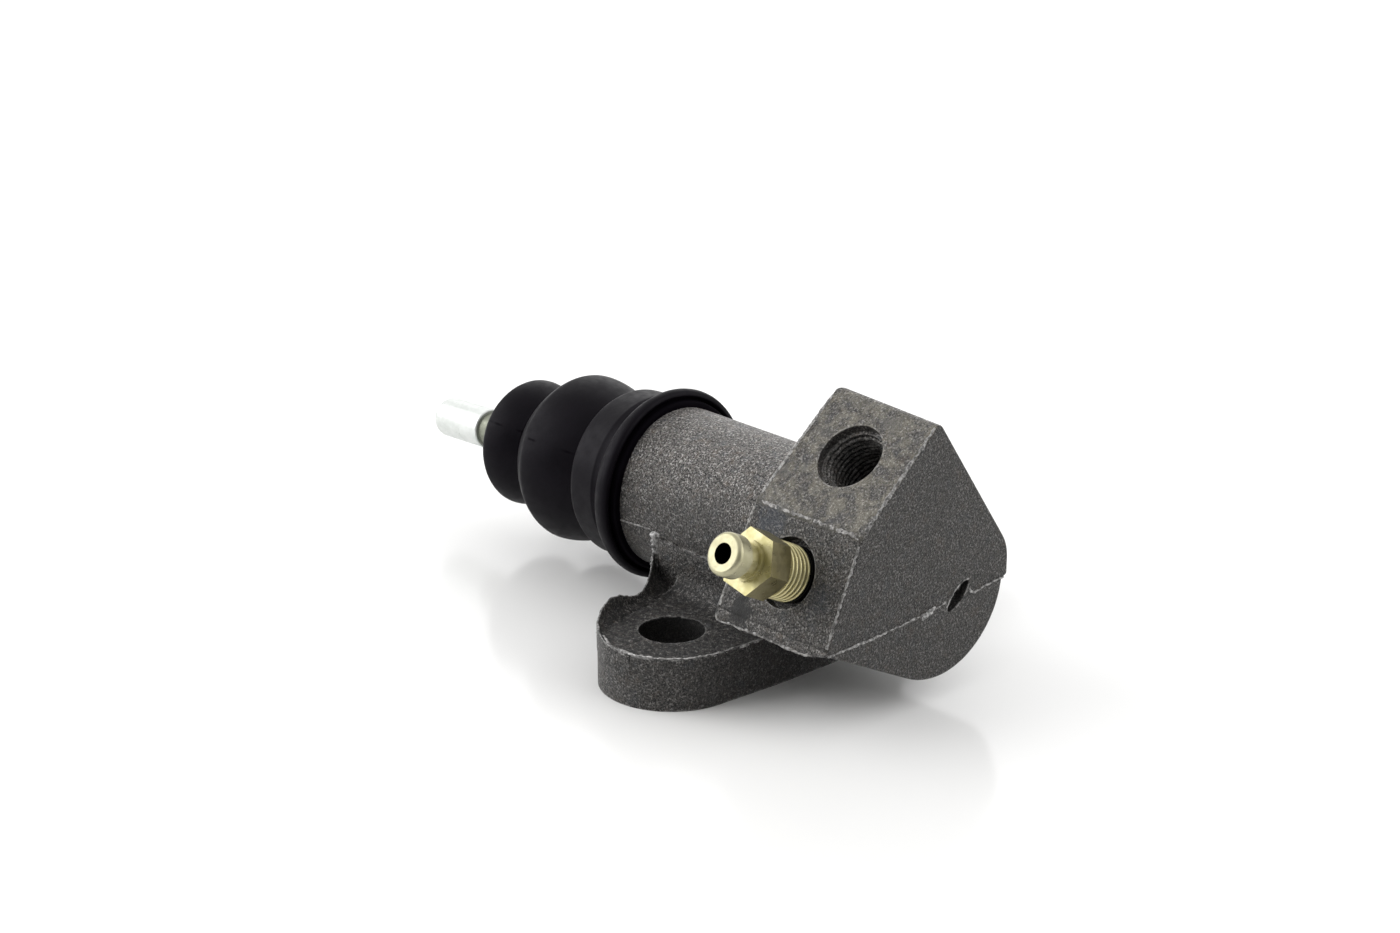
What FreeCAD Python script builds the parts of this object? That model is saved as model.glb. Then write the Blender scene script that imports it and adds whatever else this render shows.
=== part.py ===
"""Clutch slave cylinder: cast-iron housing, piston with its seals, push rod, boot and bleeder.

Millimetres. The origin is on the mounting face, midway between the two bolt holes.
+X runs along the bore towards the closed head, the push rod points to -X, +Z is up.
Each piece is a solid of its own, written to parts/NAME.step.
"""
import FreeCAD, Part
import math
import os

Vec = FreeCAD.Vector

# Mounting base
bolt_spacing = 56.2
bolt_hole_d = 11.5
ear_end_r = 12.8
ear_thick = 9.5
ear_flare = 0.8
ear_root_r = 4.0
ear_top_fillet = 3.5
pedestal_left = 19.5
pedestal_half_width = 15.1
pedestal_corner_r = 2.0

# Barrel and bore
axis_height = 20.5
barrel_r = 15.0
bore_d = 20.64
shoulder_x = -29.5
spigot_len = 9.0
spigot_r = 13.3
boot_groove_depth = 1.0
boot_groove_width = 2.6
boot_groove_inset = 1.2
bore_mouth_chamfer = 0.8
parting_drop = 3.0

# Head block, seen along the bore from its closed end
head_len = 24.7
head_draft_deg = 4.1
head_taper = 1.2
head_end_x = 36.6
head_end_wall = 8.0
head_round_r = 15.6
head_round_offset = 0.5
head_front_y = -27.8
head_front_drop = 4.2
bleeder_face_len = 20.0
bleeder_face_deg = 66.1
bleeder_lean_deg = 3.0
inlet_face_len = 23.8
inlet_face_deg = 42.0
flank_deg = -55.3
head_side_y = 16.3
mould_step = 1.1
head_corner_r = 1.2
head_top_corner_r = 1.5
head_back_corner_r = 1.8
head_side_corner_r = 7.8
head_edge_r = 0.5
head_margin = 3.0

# Casting void on the end face
void_y = 3.8
void_length = 6.6
void_width = 2.6
void_depth = 1.6
void_lean_deg = 43.0

# Inlet port, M12 x 1
inlet_inset = 12.4
inlet_from_edge = 12.8
inlet_thread_r = 5.5
inlet_mouth_r = 6.1
inlet_mouth_depth = 1.8
inlet_depth = 13.0
passage_r = 1.5
drill_point_deg = 59.0
cut_over = 5.0

# Bleeder port and screw, M10 x 1 with a 10 mm hexagon
bleeder_inset = 13.3
bleeder_from_edge = 9.6
bleeder_thread_r = 4.7
bleeder_clear = 0.05
bleeder_mouth_r = 6.05
bleeder_mouth_depth = 2.2
bleeder_thread_depth = 8.5
bleeder_thread_out = 5.0
bleeder_hex_af = 10.0
bleeder_hex_len = 4.9
bleeder_hex_turn = -10.0
bleeder_hex_chamfer = 0.5
bleeder_collar_r = 3.5
bleeder_collar_len = 0.8
bleeder_neck_r = 3.0
bleeder_neck_len = 1.85
bleeder_barb_r = 3.7
bleeder_barb_len = 3.6
bleeder_tip_round = 0.8
bleeder_bore_r = 1.75
bleeder_cross_r = 0.9
seat_clear = 0.10

# Piston, seals and spring
running_clear = 0.05
piston_len = 25.0
piston_stop_gap = 0.10
piston_neck_r = 6.6
piston_nose_r = 4.0
piston_nose_len = 2.5
rear_groove_inset = 4.0
rear_groove_width = 3.0
rear_groove_depth = 2.2
cup_len = 5.0
cup_lip = 1.6
cup_web = 2.2
spreader_plate = 1.2
spreader_rim_r = 8.6
spreader_pin_r = 5.4
spreader_pin_len = 5.0
spring_wire_d = 1.3
spring_mean_r = 7.0
spring_turns = 6.5
seat_gap = 0.10

# Retaining ring in the mouth of the bore
ring_inset = 2.0
ring_thick = 1.2
ring_groove_depth = 1.0
ring_clear = 0.05
ring_band = 2.2
ring_gap_deg = 40.0
ring_lug_r = 1.7
ring_lug_hole_r = 0.8

# Push rod
rod_r = 3.95
rod_ball_r = 4.8
rod_ball_clear = 0.08
ball_depth = 11.0
rod_neck_r = 3.1
rod_neck_len = 5.0
rod_bare = 19.6
rod_droop_deg = 2.85
rod_end_round = 1.8
rod_groove_r = 3.3
rod_groove_bare = 5.3

# Dust boot: the length of each flank of its folds and the outer radius it ends at
boot_lip_gap = 2.0
boot_wall = 1.3
boot_rod_clear = 0.15
bead_r = 18.0
lip_ring_r = 16.1
lip_root = 4.0
boot_collar_r = 15.75
collar_end = 9.9
valley_one_len = 3.0
valley_one_r = 12.0
ridge_one_len = 11.4
ridge_one_r = 16.0
valley_two_len = 8.7
valley_two_r = 9.4
ridge_two_len = 7.2
ridge_two_r = 12.3
boot_nose_len = 6.8
boot_end_r = 5.5
boot_neck = 1.2
boot_cuff = 2.6
fold_rise = 1.8
fold_fall = 1.25
boot_step = 1.5

# Worked-out values
bore_r = bore_d / 2.0
open_end_x = shoulder_x - spigot_len
bore_end_x = head_end_x - head_end_wall
head_back_x = head_end_x - head_len
parting_z = axis_height - parting_drop
pedestal_right = ear_end_r + ear_flare
piston_rear_x = open_end_x + ring_inset + ring_thick + piston_stop_gap
piston_front_x = piston_rear_x + piston_len
ball_x = piston_rear_x + ball_depth
piston_r = bore_r - running_clear
boot_lip_x = shoulder_x - boot_lip_gap
valley_one = collar_end + valley_one_len
ridge_one = valley_one + ridge_one_len
valley_two = ridge_one + valley_two_len
ridge_two = valley_two + ridge_two_len
boot_end = ridge_two + boot_nose_len + boot_neck
rod_tip_x = boot_lip_x - boot_end - rod_bare


def polar(deg, length=1.0):
    """A step in the (y, z) plane at an angle from +Y."""
    angle = math.radians(deg)
    return (length * math.cos(angle), length * math.sin(angle))


def at_x(x, point):
    """A (y, z) point, measured from the bore's axis, placed at x."""
    return Vec(x, point[0], axis_height + point[1])


def bar(radius, start_x, end_x):
    """A round bar along the bore's axis."""
    return Part.makeCylinder(radius, end_x - start_x, Vec(start_x, 0, axis_height), Vec(1, 0, 0))


def turned(points):
    """A solid turned about the bore's axis from (x, radius) points."""
    wire = Part.makePolygon([Vec(x, 0, axis_height + r) for x, r in points + points[:1]])
    return Part.Face(wire).revolve(Vec(0, 0, axis_height), Vec(1, 0, 0), 360)


def rounded_wire(corners):
    """A closed wire through (point, radius) corners, with an arc at each corner that has a radius."""
    count = len(corners)
    starts = []
    ends = []
    arcs = []
    for i, (point, radius) in enumerate(corners):
        back = (corners[i - 1][0] - point).normalize()
        ahead = (corners[(i + 1) % count][0] - point).normalize()
        if radius == 0:
            starts.append(point)
            ends.append(point)
            arcs.append(None)
            continue
        half = back.getAngle(ahead) / 2.0
        first = point + back * (radius / math.tan(half))
        last = point + ahead * (radius / math.tan(half))
        toward = (back + ahead).normalize()
        middle = point + toward * (radius / math.sin(half) - radius)
        starts.append(first)
        ends.append(last)
        arcs.append(Part.Arc(first, middle, last).toShape())
    edges = []
    for i in range(count):
        if arcs[i] is not None:
            edges.append(arcs[i])
        edges.append(Part.LineSegment(ends[i], starts[(i + 1) % count]).toShape())
    return Part.Wire(edges)


def save(name, shape):
    """Write one node, and say what it is."""
    shape = shape.removeSplitter()
    shape.exportStep("parts/%s.step" % name)
    box = shape.BoundBox
    print("%-16s solids %d valid %s volume %.1f box %.1f %.1f %.1f to %.1f %.1f %.1f" % (
        name, len(shape.Solids), shape.isValid(), shape.Volume,
        box.XMin, box.YMin, box.ZMin, box.XMax, box.YMax, box.ZMax))


# Head profile, in (y, z) from the bore's axis
front_low = (head_front_y, -head_front_drop)
step_up = polar(bleeder_face_deg, bleeder_face_len)
front_high = (front_low[0] + step_up[0], front_low[1] + step_up[1])
step_over = polar(inlet_face_deg, inlet_face_len)
top = (front_high[0] + step_over[0], front_high[1] + step_over[1])
side_high = (head_side_y, top[1] + (head_side_y - top[0]) * math.tan(math.radians(flank_deg)))
side_low = (head_side_y, -parting_drop + mould_step)
widen = polar(inlet_face_deg, head_taper * (head_len + head_margin) / head_len)
wide_top = (top[0] + widen[0], top[1] + widen[1])
wide_side = (head_side_y, wide_top[1] + (head_side_y - wide_top[0]) * math.tan(math.radians(flank_deg)))
round_centre = (-head_round_offset, -head_round_offset)
step_z = -parting_drop + mould_step / 2.0 - round_centre[1]
round_start = (round_centre[0] + math.sqrt(head_round_r ** 2 - step_z ** 2), round_centre[1] + step_z)

# Port axes: the inlet's straight out of its face, the bleeder's leaning up a little
bleeder_out = polar(bleeder_face_deg + 90.0 - bleeder_lean_deg)
inlet_out = polar(inlet_face_deg + 90.0)
bleeder_down = polar(bleeder_face_deg + 180.0, bleeder_from_edge)
inlet_up = polar(inlet_face_deg, inlet_from_edge)
bleeder_mouth = at_x(head_end_x - bleeder_inset, (front_high[0] + bleeder_down[0],
                                                  front_high[1] + bleeder_down[1]))
inlet_mouth = at_x(head_end_x - inlet_inset, (front_high[0] + inlet_up[0], front_high[1] + inlet_up[1]))
bleeder_axis = Vec(0, bleeder_out[0], bleeder_out[1])
inlet_axis = Vec(0, inlet_out[0], inlet_out[1])


def along(mouth, axis, radius, low, high):
    """A round bar on a port's axis, from low to high, counted outwards from the face."""
    return Part.makeCylinder(radius, high - low, mouth + axis * low, axis)


def cone_along(mouth, axis, low, low_r, high, high_r):
    """A cone on a port's axis."""
    return Part.makeCone(low_r, high_r, high - low, mouth + axis * low, axis)


def edges_on(shape, point, direction):
    """The edges of a shape that lie on one straight line."""
    step = Vec(direction).normalize()
    found = []
    for edge in shape.Edges:
        offs = [(vertex.Point - point).cross(step).Length for vertex in edge.Vertexes]
        if max(offs) < 0.01:
            found.append(edge)
    return found


def back_corner(slide, fall, back_out, parting_x, lean):
    """What rounding takes off the corner between the head's back face and its flank."""
    flank_out = fall.cross(slide).normalize()
    if flank_out.z < 0:
        flank_out = -flank_out
    # the corner's top: along the upper edge to the leaning back face
    front = at_x(head_end_x, top)
    share = (front.x - parting_x - (front.z - parting_z) * lean) / (slide.z * lean - slide.x)
    peak = front + slide * share
    inset = head_back_corner_r / (1.0 + flank_out.dot(back_out))
    centre = peak - (flank_out + back_out) * inset
    way = flank_out.cross(back_out).normalize()
    if way.z > 0:
        way = -way
    spare = head_back_corner_r
    corners = [centre, centre + flank_out * (head_back_corner_r + spare),
               peak + (flank_out + back_out) * spare,
               centre + back_out * (head_back_corner_r + spare)]
    rise = way * head_margin
    start = [point - rise for point in corners]
    wedge = Part.Face(Part.makePolygon(start + start[:1])).extrude(way * (head_len * 2.0))
    return wedge.cut(Part.makeCylinder(head_back_corner_r, head_len * 2.0, centre - rise, way))


def head_block():
    """The wedge-like head, with the inlet and bleeder faces, a flank and a round belly."""
    # the belly's arc ends where a line from the low front corner touches it
    reach = math.hypot(front_low[0] - round_centre[0], front_low[1] - round_centre[1])
    aim = math.atan2(front_low[1] - round_centre[1], front_low[0] - round_centre[0])
    touch = aim + math.acos(head_round_r / reach)
    round_end = (round_centre[0] + head_round_r * math.cos(touch),
                 round_centre[1] + head_round_r * math.sin(touch))
    start_angle = math.atan2(step_z, round_start[0] - round_centre[0])
    middle_angle = (start_angle + touch - 2.0 * math.pi) / 2.0
    if touch < 0:
        middle_angle = (start_angle + touch) / 2.0
    round_middle = (round_centre[0] + head_round_r * math.cos(middle_angle),
                    round_centre[1] + head_round_r * math.sin(middle_angle))
    start_x = head_back_x - head_margin
    corners = [(at_x(start_x, round_end), 0),
               (at_x(start_x, front_low), head_corner_r),
               (at_x(start_x, front_high), head_corner_r),
               (at_x(start_x, wide_top), 0),
               (at_x(start_x, wide_side), 0),
               (at_x(start_x, side_low), head_edge_r * 1.2),
               (at_x(start_x, round_start), 0)]
    edges = rounded_wire(corners).Edges[:-1]
    belly = Part.Arc(at_x(start_x, round_start), at_x(start_x, round_middle),
                     at_x(start_x, round_end)).toShape()
    wire = Part.Wire(Part.sortEdges(edges + [belly])[0])
    block = Part.Face(wire).extrude(Vec(head_end_x - start_x, 0, 0))
    # the flank comes in towards the end face
    slide = at_x(start_x, wide_top) - at_x(head_end_x, top)
    fall = at_x(0, polar(flank_deg)) - at_x(0, (0, 0))
    first = at_x(head_end_x, top) - slide - fall * head_len
    flank = Part.makePolygon([first, first + slide * 3.0, first + slide * 3.0 + fall * head_len * 4.0,
                              first + fall * head_len * 4.0, first])
    outward = fall.cross(slide).normalize() * head_len
    if outward.z < 0:
        outward = -outward
    block = block.cut(Part.Face(flank).extrude(outward))
    block = block.makeFillet(head_top_corner_r, edges_on(block, at_x(head_end_x, top), slide))
    side_slide = at_x(start_x, wide_side) - at_x(head_end_x, side_high)
    block = block.makeFillet(head_side_corner_r, edges_on(block, at_x(head_end_x, side_high), side_slide))
    # the back face leans both ways from the parting plane, as it has to leave the mould
    lean = math.tan(math.radians(head_draft_deg))
    parting_x = head_back_x - (axis_height + front_high[1] - parting_z) * lean
    far = head_len * 2.0
    behind = Part.makePolygon([Vec(start_x - far, -far, parting_z - far),
                               Vec(parting_x + far * lean, -far, parting_z - far),
                               Vec(parting_x, -far, parting_z),
                               Vec(parting_x + far * lean, -far, parting_z + far),
                               Vec(start_x - far, -far, parting_z + far),
                               Vec(start_x - far, -far, parting_z - far)])
    block = block.cut(Part.Face(behind).extrude(Vec(0, far * 2.0, 0)))
    block = block.cut(back_corner(slide, fall, Vec(-1, 0, lean).normalize(), parting_x, lean))
    rim = [edge for edge in block.Edges if edge.BoundBox.XMin > head_end_x - 0.001]
    return block.makeFillet(head_edge_r, rim)


def mounting_base():
    """Two ears and the pedestal that carries the barrel."""
    hole_y = bolt_spacing / 2.0
    wall_y = pedestal_half_width
    edges = []
    for side in (-1.0, 1.0):
        tip = Part.Arc(Vec(-ear_end_r, side * hole_y, 0), Vec(0, side * (hole_y + ear_end_r), 0),
                       Vec(ear_end_r, side * hole_y, 0)).toShape()
        flank = Part.LineSegment(Vec(ear_end_r, side * hole_y, 0),
                                 Vec(pedestal_right, side * wall_y, 0)).toShape()
        root_start = Vec(-ear_end_r, side * (wall_y + ear_root_r), 0)
        root_end = Vec(-ear_end_r - ear_root_r, side * wall_y, 0)
        bend = ear_root_r * (1.0 - math.sqrt(0.5))
        root_middle = Vec(-ear_end_r - bend, side * (wall_y + bend), 0)
        inner = Part.LineSegment(Vec(-ear_end_r, side * hole_y, 0), root_start).toShape()
        root = Part.Arc(root_start, root_middle, root_end).toShape()
        edges += [tip, flank, inner, root]
    left_x = -ear_end_r - ear_root_r
    edges.append(Part.LineSegment(Vec(left_x, -wall_y, 0), Vec(left_x, wall_y, 0)).toShape())
    edges.append(Part.LineSegment(Vec(pedestal_right, -wall_y, 0), Vec(pedestal_right, wall_y, 0)).toShape())
    plate = Part.Face(Part.Wire(Part.sortEdges(edges)[0])).extrude(Vec(0, 0, ear_thick))
    outline = rounded_wire([(Vec(-pedestal_left, -wall_y, 0), pedestal_corner_r),
                            (Vec(pedestal_right, -wall_y, 0), 0),
                            (Vec(pedestal_right, wall_y, 0), 0),
                            (Vec(-pedestal_left, wall_y, 0), pedestal_corner_r)])
    base = plate.fuse(Part.Face(outline).extrude(Vec(0, 0, parting_z)))
    for side in (-1.0, 1.0):
        corner = Vec(-ear_end_r, side * wall_y, ear_thick)
        out = corner + Vec(0, side * ear_top_fillet, 0)
        up = corner + Vec(0, 0, ear_top_fillet)
        bend = ear_top_fillet * (1.0 - math.sqrt(0.5))
        middle = corner + Vec(0, side * bend, bend)
        web = Part.Wire([Part.LineSegment(corner, out).toShape(), Part.Arc(out, middle, up).toShape(),
                         Part.LineSegment(up, corner).toShape()])
        base = base.fuse(Part.Face(web).extrude(Vec(ear_end_r * 2.0, 0, 0)))
    return base


def casting_void():
    """The slanted oval hollow that a bubble left on the end face's parting line."""
    centre = at_x(head_end_x - void_depth, (void_y, -parting_drop + mould_step / 2.0))
    long_way = at_x(0, polar(void_lean_deg)) - at_x(0, (0, 0))
    short_way = at_x(0, polar(void_lean_deg + 90.0)) - at_x(0, (0, 0))
    end = centre + long_way * (void_length / 2.0)
    oval = Part.Ellipse(end, centre + short_way * (void_width / 2.0), centre)
    return Part.Face(Part.Wire([oval.toShape()])).extrude(Vec(void_depth * 2.0, 0, 0))


def cylinder_body():
    """The iron casting: barrel, head, base, bore and ports."""
    body = bar(barrel_r, shoulder_x, head_back_x + head_round_r)
    body = body.fuse([head_block(), mounting_base(), bar(spigot_r, open_end_x, shoulder_x + 1.0)])
    groove_end = shoulder_x - boot_groove_inset
    groove_start = groove_end - boot_groove_width
    groove = bar(spigot_r + 1.0, groove_start, groove_end).cut(
        bar(spigot_r - boot_groove_depth, groove_start - 1.0, groove_end + 1.0))
    mouth = Part.makeCone(bore_r + bore_mouth_chamfer, bore_r, bore_mouth_chamfer,
                          Vec(open_end_x, 0, axis_height), Vec(1, 0, 0))
    drill_tip = bore_r * math.tan(math.radians(90.0 - drill_point_deg)) * 0.25
    tip = Part.makeCone(bore_r, bore_r * 0.75, drill_tip, Vec(bore_end_x, 0, axis_height), Vec(1, 0, 0))
    ring_start = open_end_x + ring_inset
    ring_groove = bar(bore_r + ring_groove_depth, ring_start - ring_clear,
                      ring_start + ring_thick + ring_clear)
    cuts = [bar(bore_r, open_end_x - 1.0, bore_end_x), tip, mouth, ring_groove, groove, casting_void()]
    for side in (-1.0, 1.0):
        cuts.append(Part.makeCylinder(bolt_hole_d / 2.0, ear_thick * 3.0,
                                      Vec(0, side * bolt_spacing / 2.0, -ear_thick)))
    # inlet port: mouth, thread, drill point and a fine passage that breaks into the bore
    point = inlet_thread_r / math.tan(math.radians(drill_point_deg))
    cuts.append(along(inlet_mouth, inlet_axis, inlet_mouth_r, -inlet_mouth_depth, cut_over))
    cuts.append(along(inlet_mouth, inlet_axis, inlet_thread_r, -inlet_depth, 1.0))
    cuts.append(cone_along(inlet_mouth, inlet_axis, -inlet_depth - point, 0.0, -inlet_depth, inlet_thread_r))
    cuts.append(along(inlet_mouth, inlet_axis, passage_r, -inlet_depth - bore_r, -inlet_depth))
    # bleeder port: mouth, thread, cone seat and passage
    thread_r = bleeder_thread_r + bleeder_clear
    seat = thread_r - passage_r
    cuts.append(along(bleeder_mouth, bleeder_axis, bleeder_mouth_r, -bleeder_mouth_depth, cut_over))
    cuts.append(along(bleeder_mouth, bleeder_axis, thread_r, -bleeder_thread_depth, 1.0))
    cuts.append(cone_along(bleeder_mouth, bleeder_axis, -bleeder_thread_depth - seat, passage_r,
                           -bleeder_thread_depth, thread_r))
    cuts.append(along(bleeder_mouth, bleeder_axis, passage_r, -bleeder_thread_depth - bore_r,
                      -bleeder_thread_depth))
    return body.cut(cuts)


def bleeder_screw():
    """Screw with a cone seat, thread, hexagon, collar, neck and hose nipple, drilled through."""
    mouth, axis = bleeder_mouth, bleeder_axis
    seat = bleeder_thread_r - passage_r
    low = -bleeder_thread_depth + seat_clear
    blank = along(mouth, axis, bleeder_thread_r, low, bleeder_thread_out)
    blank = blank.fuse(cone_along(mouth, axis, low - seat, passage_r, low, bleeder_thread_r))
    # the hexagon stands as it was last tightened, chamfered on its thread side
    side = Vec(1, 0, 0)
    other = axis.cross(side)
    corner_r = bleeder_hex_af / math.sqrt(3.0)
    points = []
    for i in range(7):
        angle = math.radians(60.0 * i + bleeder_hex_turn)
        points.append(mouth + axis * bleeder_thread_out + side * (corner_r * math.cos(angle))
                      + other * (corner_r * math.sin(angle)))
    hexagon = Part.Face(Part.makePolygon(points)).extrude(axis * bleeder_hex_len)
    hex_top = bleeder_thread_out + bleeder_hex_len
    growth = 1.0 / math.tan(math.radians(30.0))
    narrow = corner_r - bleeder_hex_chamfer * growth
    wide = corner_r + (bleeder_hex_len + 1.0) * growth
    hexagon = hexagon.common(cone_along(mouth, axis, bleeder_thread_out, narrow, hex_top + 1.0, wide))
    collar_top = hex_top + bleeder_collar_len
    neck_top = collar_top + bleeder_neck_len
    tip = neck_top + bleeder_barb_len
    rise = bleeder_barb_r - bleeder_neck_r
    barb = along(mouth, axis, bleeder_barb_r, neck_top + rise, tip)
    tip_centre = mouth + axis * tip
    reach = bleeder_barb_r + 0.01
    tip_edges = [edge for edge in barb.Edges
                 if max((vertex.Point - tip_centre).Length for vertex in edge.Vertexes) < reach
                 and abs(edge.Length - 2.0 * math.pi * bleeder_barb_r) < 0.01]
    barb = barb.makeFillet(bleeder_tip_round, tip_edges)
    blank = blank.fuse([hexagon,
                        along(mouth, axis, bleeder_collar_r, hex_top - 0.5, collar_top),
                        along(mouth, axis, bleeder_neck_r, collar_top - 0.5, neck_top + rise),
                        cone_along(mouth, axis, neck_top, bleeder_neck_r, neck_top + rise, bleeder_barb_r),
                        barb])
    cross = Part.makeCylinder(bleeder_cross_r, bleeder_thread_r * 3.0,
                              mouth + axis * (low + 1.5) - side * (bleeder_thread_r * 1.5), side)
    return blank.cut([along(mouth, axis, bleeder_bore_r, low + 1.5, tip + 1.0), cross])


def piston():
    """Piston with a groove for the rear seal, a nose for the cup and a socket for the rod's ball."""
    groove_start = piston_rear_x + rear_groove_inset
    groove_end = groove_start + rear_groove_width
    groove_r = piston_r - rear_groove_depth
    solid = turned([(piston_rear_x, 0), (piston_rear_x, piston_r - 0.5), (piston_rear_x + 0.5, piston_r),
                    (groove_start, piston_r), (groove_start, groove_r), (groove_end, groove_r),
                    (groove_end, piston_r), (piston_front_x - 0.5, piston_r),
                    (piston_front_x, piston_r - 0.5), (piston_front_x, piston_nose_r),
                    (piston_front_x + piston_nose_len, piston_nose_r), (piston_front_x + piston_nose_len, 0)])
    seat_r = rod_ball_r + rod_ball_clear
    seat = Part.makeSphere(seat_r, Vec(ball_x, 0, axis_height))
    throat = bar(seat_r, ball_x - seat_r, ball_x)
    neck = bar(piston_neck_r, piston_rear_x - 1.0, ball_x - seat_r / 2.0)
    return solid.cut([seat, throat, neck])


def primary_cup():
    """Rubber cup whose lips face the fluid."""
    start = piston_front_x
    outer = piston_r
    inner = piston_nose_r + running_clear
    return turned([(start, inner), (start, outer - 0.4), (start + 0.4, outer - 0.2),
                   (start + cup_len, outer), (start + cup_len, outer - cup_lip * 0.6),
                   (start + cup_web, outer - cup_lip), (start + cup_web, inner)])


def secondary_seal():
    """Rubber ring in the piston's rear groove."""
    start = piston_rear_x + rear_groove_inset + running_clear
    end = start + rear_groove_width - 2.0 * running_clear
    inner = piston_r - rear_groove_depth + running_clear
    lip = (end - start) * 0.4
    return turned([(start, inner), (start, piston_r - 0.5), (end - lip, piston_r - 0.3),
                   (end, piston_r), (end, piston_r - 0.9), (end - lip, piston_r - 1.3), (end - lip, inner)])


def cup_spreader():
    """Pressed seat between the cup and the return spring, with a spigot inside the coil."""
    start = piston_front_x + piston_nose_len + seat_gap
    face = start + spreader_plate
    return turned([(start, 0), (start, spreader_rim_r - 1.6), (start + 0.4, spreader_rim_r - 0.4),
                   (face + 0.8, spreader_rim_r), (face + 0.8, spreader_rim_r - 0.5),
                   (face, spreader_rim_r - 0.9),
                   (face, spreader_pin_r), (face + spreader_pin_len - 0.8, spreader_pin_r),
                   (face + spreader_pin_len, spreader_pin_r - 0.8), (face + spreader_pin_len, 0)])


def return_spring():
    """Coil between the head's wall and the spreader, at its rest length."""
    start = piston_front_x + piston_nose_len + seat_gap + spreader_plate + seat_gap + spring_wire_d / 2.0
    end = bore_end_x - seat_gap - spring_wire_d / 2.0
    length = end - start
    helix = Part.makeHelix(length / spring_turns, length, spring_mean_r)
    ring = Part.Wire(Part.makeCircle(spring_wire_d / 2.0, Vec(spring_mean_r, 0, 0), Vec(0, 1, 0)))
    coil = Part.Wire(helix).makePipeShell([ring], True, True)
    coil.rotate(Vec(0, 0, 0), Vec(0, 1, 0), 90)
    coil.translate(Vec(start, 0, axis_height))
    return coil


def retaining_ring():
    """Open ring in the bore's mouth, with a drilled lug at each end."""
    start = open_end_x + ring_inset
    outer = bore_r + ring_groove_depth - ring_clear
    inner = outer - ring_band
    ring = bar(outer, start, start + ring_thick).cut(bar(inner, start - 1.0, start + ring_thick + 1.0))
    half = math.radians(ring_gap_deg / 2.0)
    far = outer * 2.0
    middle = Vec(start - 1.0, 0, axis_height)
    aside = Vec(0, far * math.sin(half), 0)
    upward = Vec(0, 0, far * math.cos(half))
    wedge = Part.Face(Part.makePolygon([middle, middle + upward - aside, middle + upward + aside, middle]))
    ring = ring.cut(wedge.extrude(Vec(ring_thick + 2.0, 0, 0)))
    lug_at = bore_r - ring_lug_r - ring_clear * 2.0
    turn = half + ring_lug_r / lug_at * 0.6
    for side in (-1.0, 1.0):
        centre = Vec(start, side * lug_at * math.sin(turn), axis_height + lug_at * math.cos(turn))
        lug = Part.makeCylinder(ring_lug_r, ring_thick, centre, Vec(1, 0, 0))
        hole = Part.makeCylinder(ring_lug_hole_r, ring_thick + 2.0, centre - Vec(1, 0, 0), Vec(1, 0, 0))
        ring = ring.fuse(lug).cut(hole)
    return ring


def rod_height(x):
    """The height of the drooping rod's axis at x."""
    return axis_height - (ball_x - x) * math.tan(math.radians(rod_droop_deg))


def push_rod():
    """Rod with a ball end in the piston, a groove for the boot's cuff, and a plain rounded tip."""
    groove_near = boot_lip_x - boot_end + boot_cuff + 2.0 * boot_rod_clear
    groove_far = boot_lip_x - boot_end - rod_groove_bare
    neck_end = ball_x - rod_neck_len
    points = [(ball_x, 0), (ball_x, rod_neck_r), (neck_end, rod_neck_r), (neck_end - 1.0, rod_r),
              (groove_near + 0.3, rod_r), (groove_near, rod_groove_r), (groove_far, rod_groove_r),
              (groove_far, rod_r - 0.2), (groove_far - 0.2, rod_r)]
    outline = [Vec(x, 0, axis_height + r) for x, r in points]
    edges = [Part.LineSegment(a, b).toShape() for a, b in zip(outline[:-1], outline[1:])]
    shank_end = Vec(rod_tip_x + rod_end_round, 0, axis_height + rod_r)
    face_top = Vec(rod_tip_x, 0, axis_height + rod_r - rod_end_round)
    bend = rod_end_round * (1.0 - math.sqrt(0.5))
    edges.append(Part.LineSegment(outline[-1], shank_end).toShape())
    round_middle = Vec(rod_tip_x + bend, 0, axis_height + rod_r - bend)
    edges.append(Part.Arc(shank_end, round_middle, face_top).toShape())
    edges.append(Part.LineSegment(face_top, Vec(rod_tip_x, 0, axis_height)).toShape())
    edges.append(Part.LineSegment(Vec(rod_tip_x, 0, axis_height), outline[0]).toShape())
    rod = Part.Face(Part.Wire(edges)).revolve(Vec(0, 0, axis_height), Vec(1, 0, 0), 360)
    rod = rod.fuse(Part.makeSphere(rod_ball_r, Vec(ball_x, 0, axis_height)))
    rod.rotate(Vec(ball_x, 0, axis_height), Vec(0, 1, 0), -rod_droop_deg)
    return rod


def boot_radius(distance):
    """Outer radius of the boot: folds that rise roundly to a ridge and fall steeply behind it."""
    knots = [(collar_end, boot_collar_r), (valley_one, valley_one_r), (ridge_one, ridge_one_r),
             (valley_two, valley_two_r), (ridge_two, ridge_two_r), (boot_end - boot_neck, boot_end_r)]
    if distance <= collar_end:
        return boot_collar_r
    for (start, low), (end, high) in zip(knots[:-1], knots[1:]):
        if distance <= end:
            share = (distance - start) / (end - start)
            if high > low:
                return low + (high - low) * (1.0 - (1.0 - share) ** fold_rise)
            return low + (high - low) * share ** fold_fall
    return boot_end_r


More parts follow.
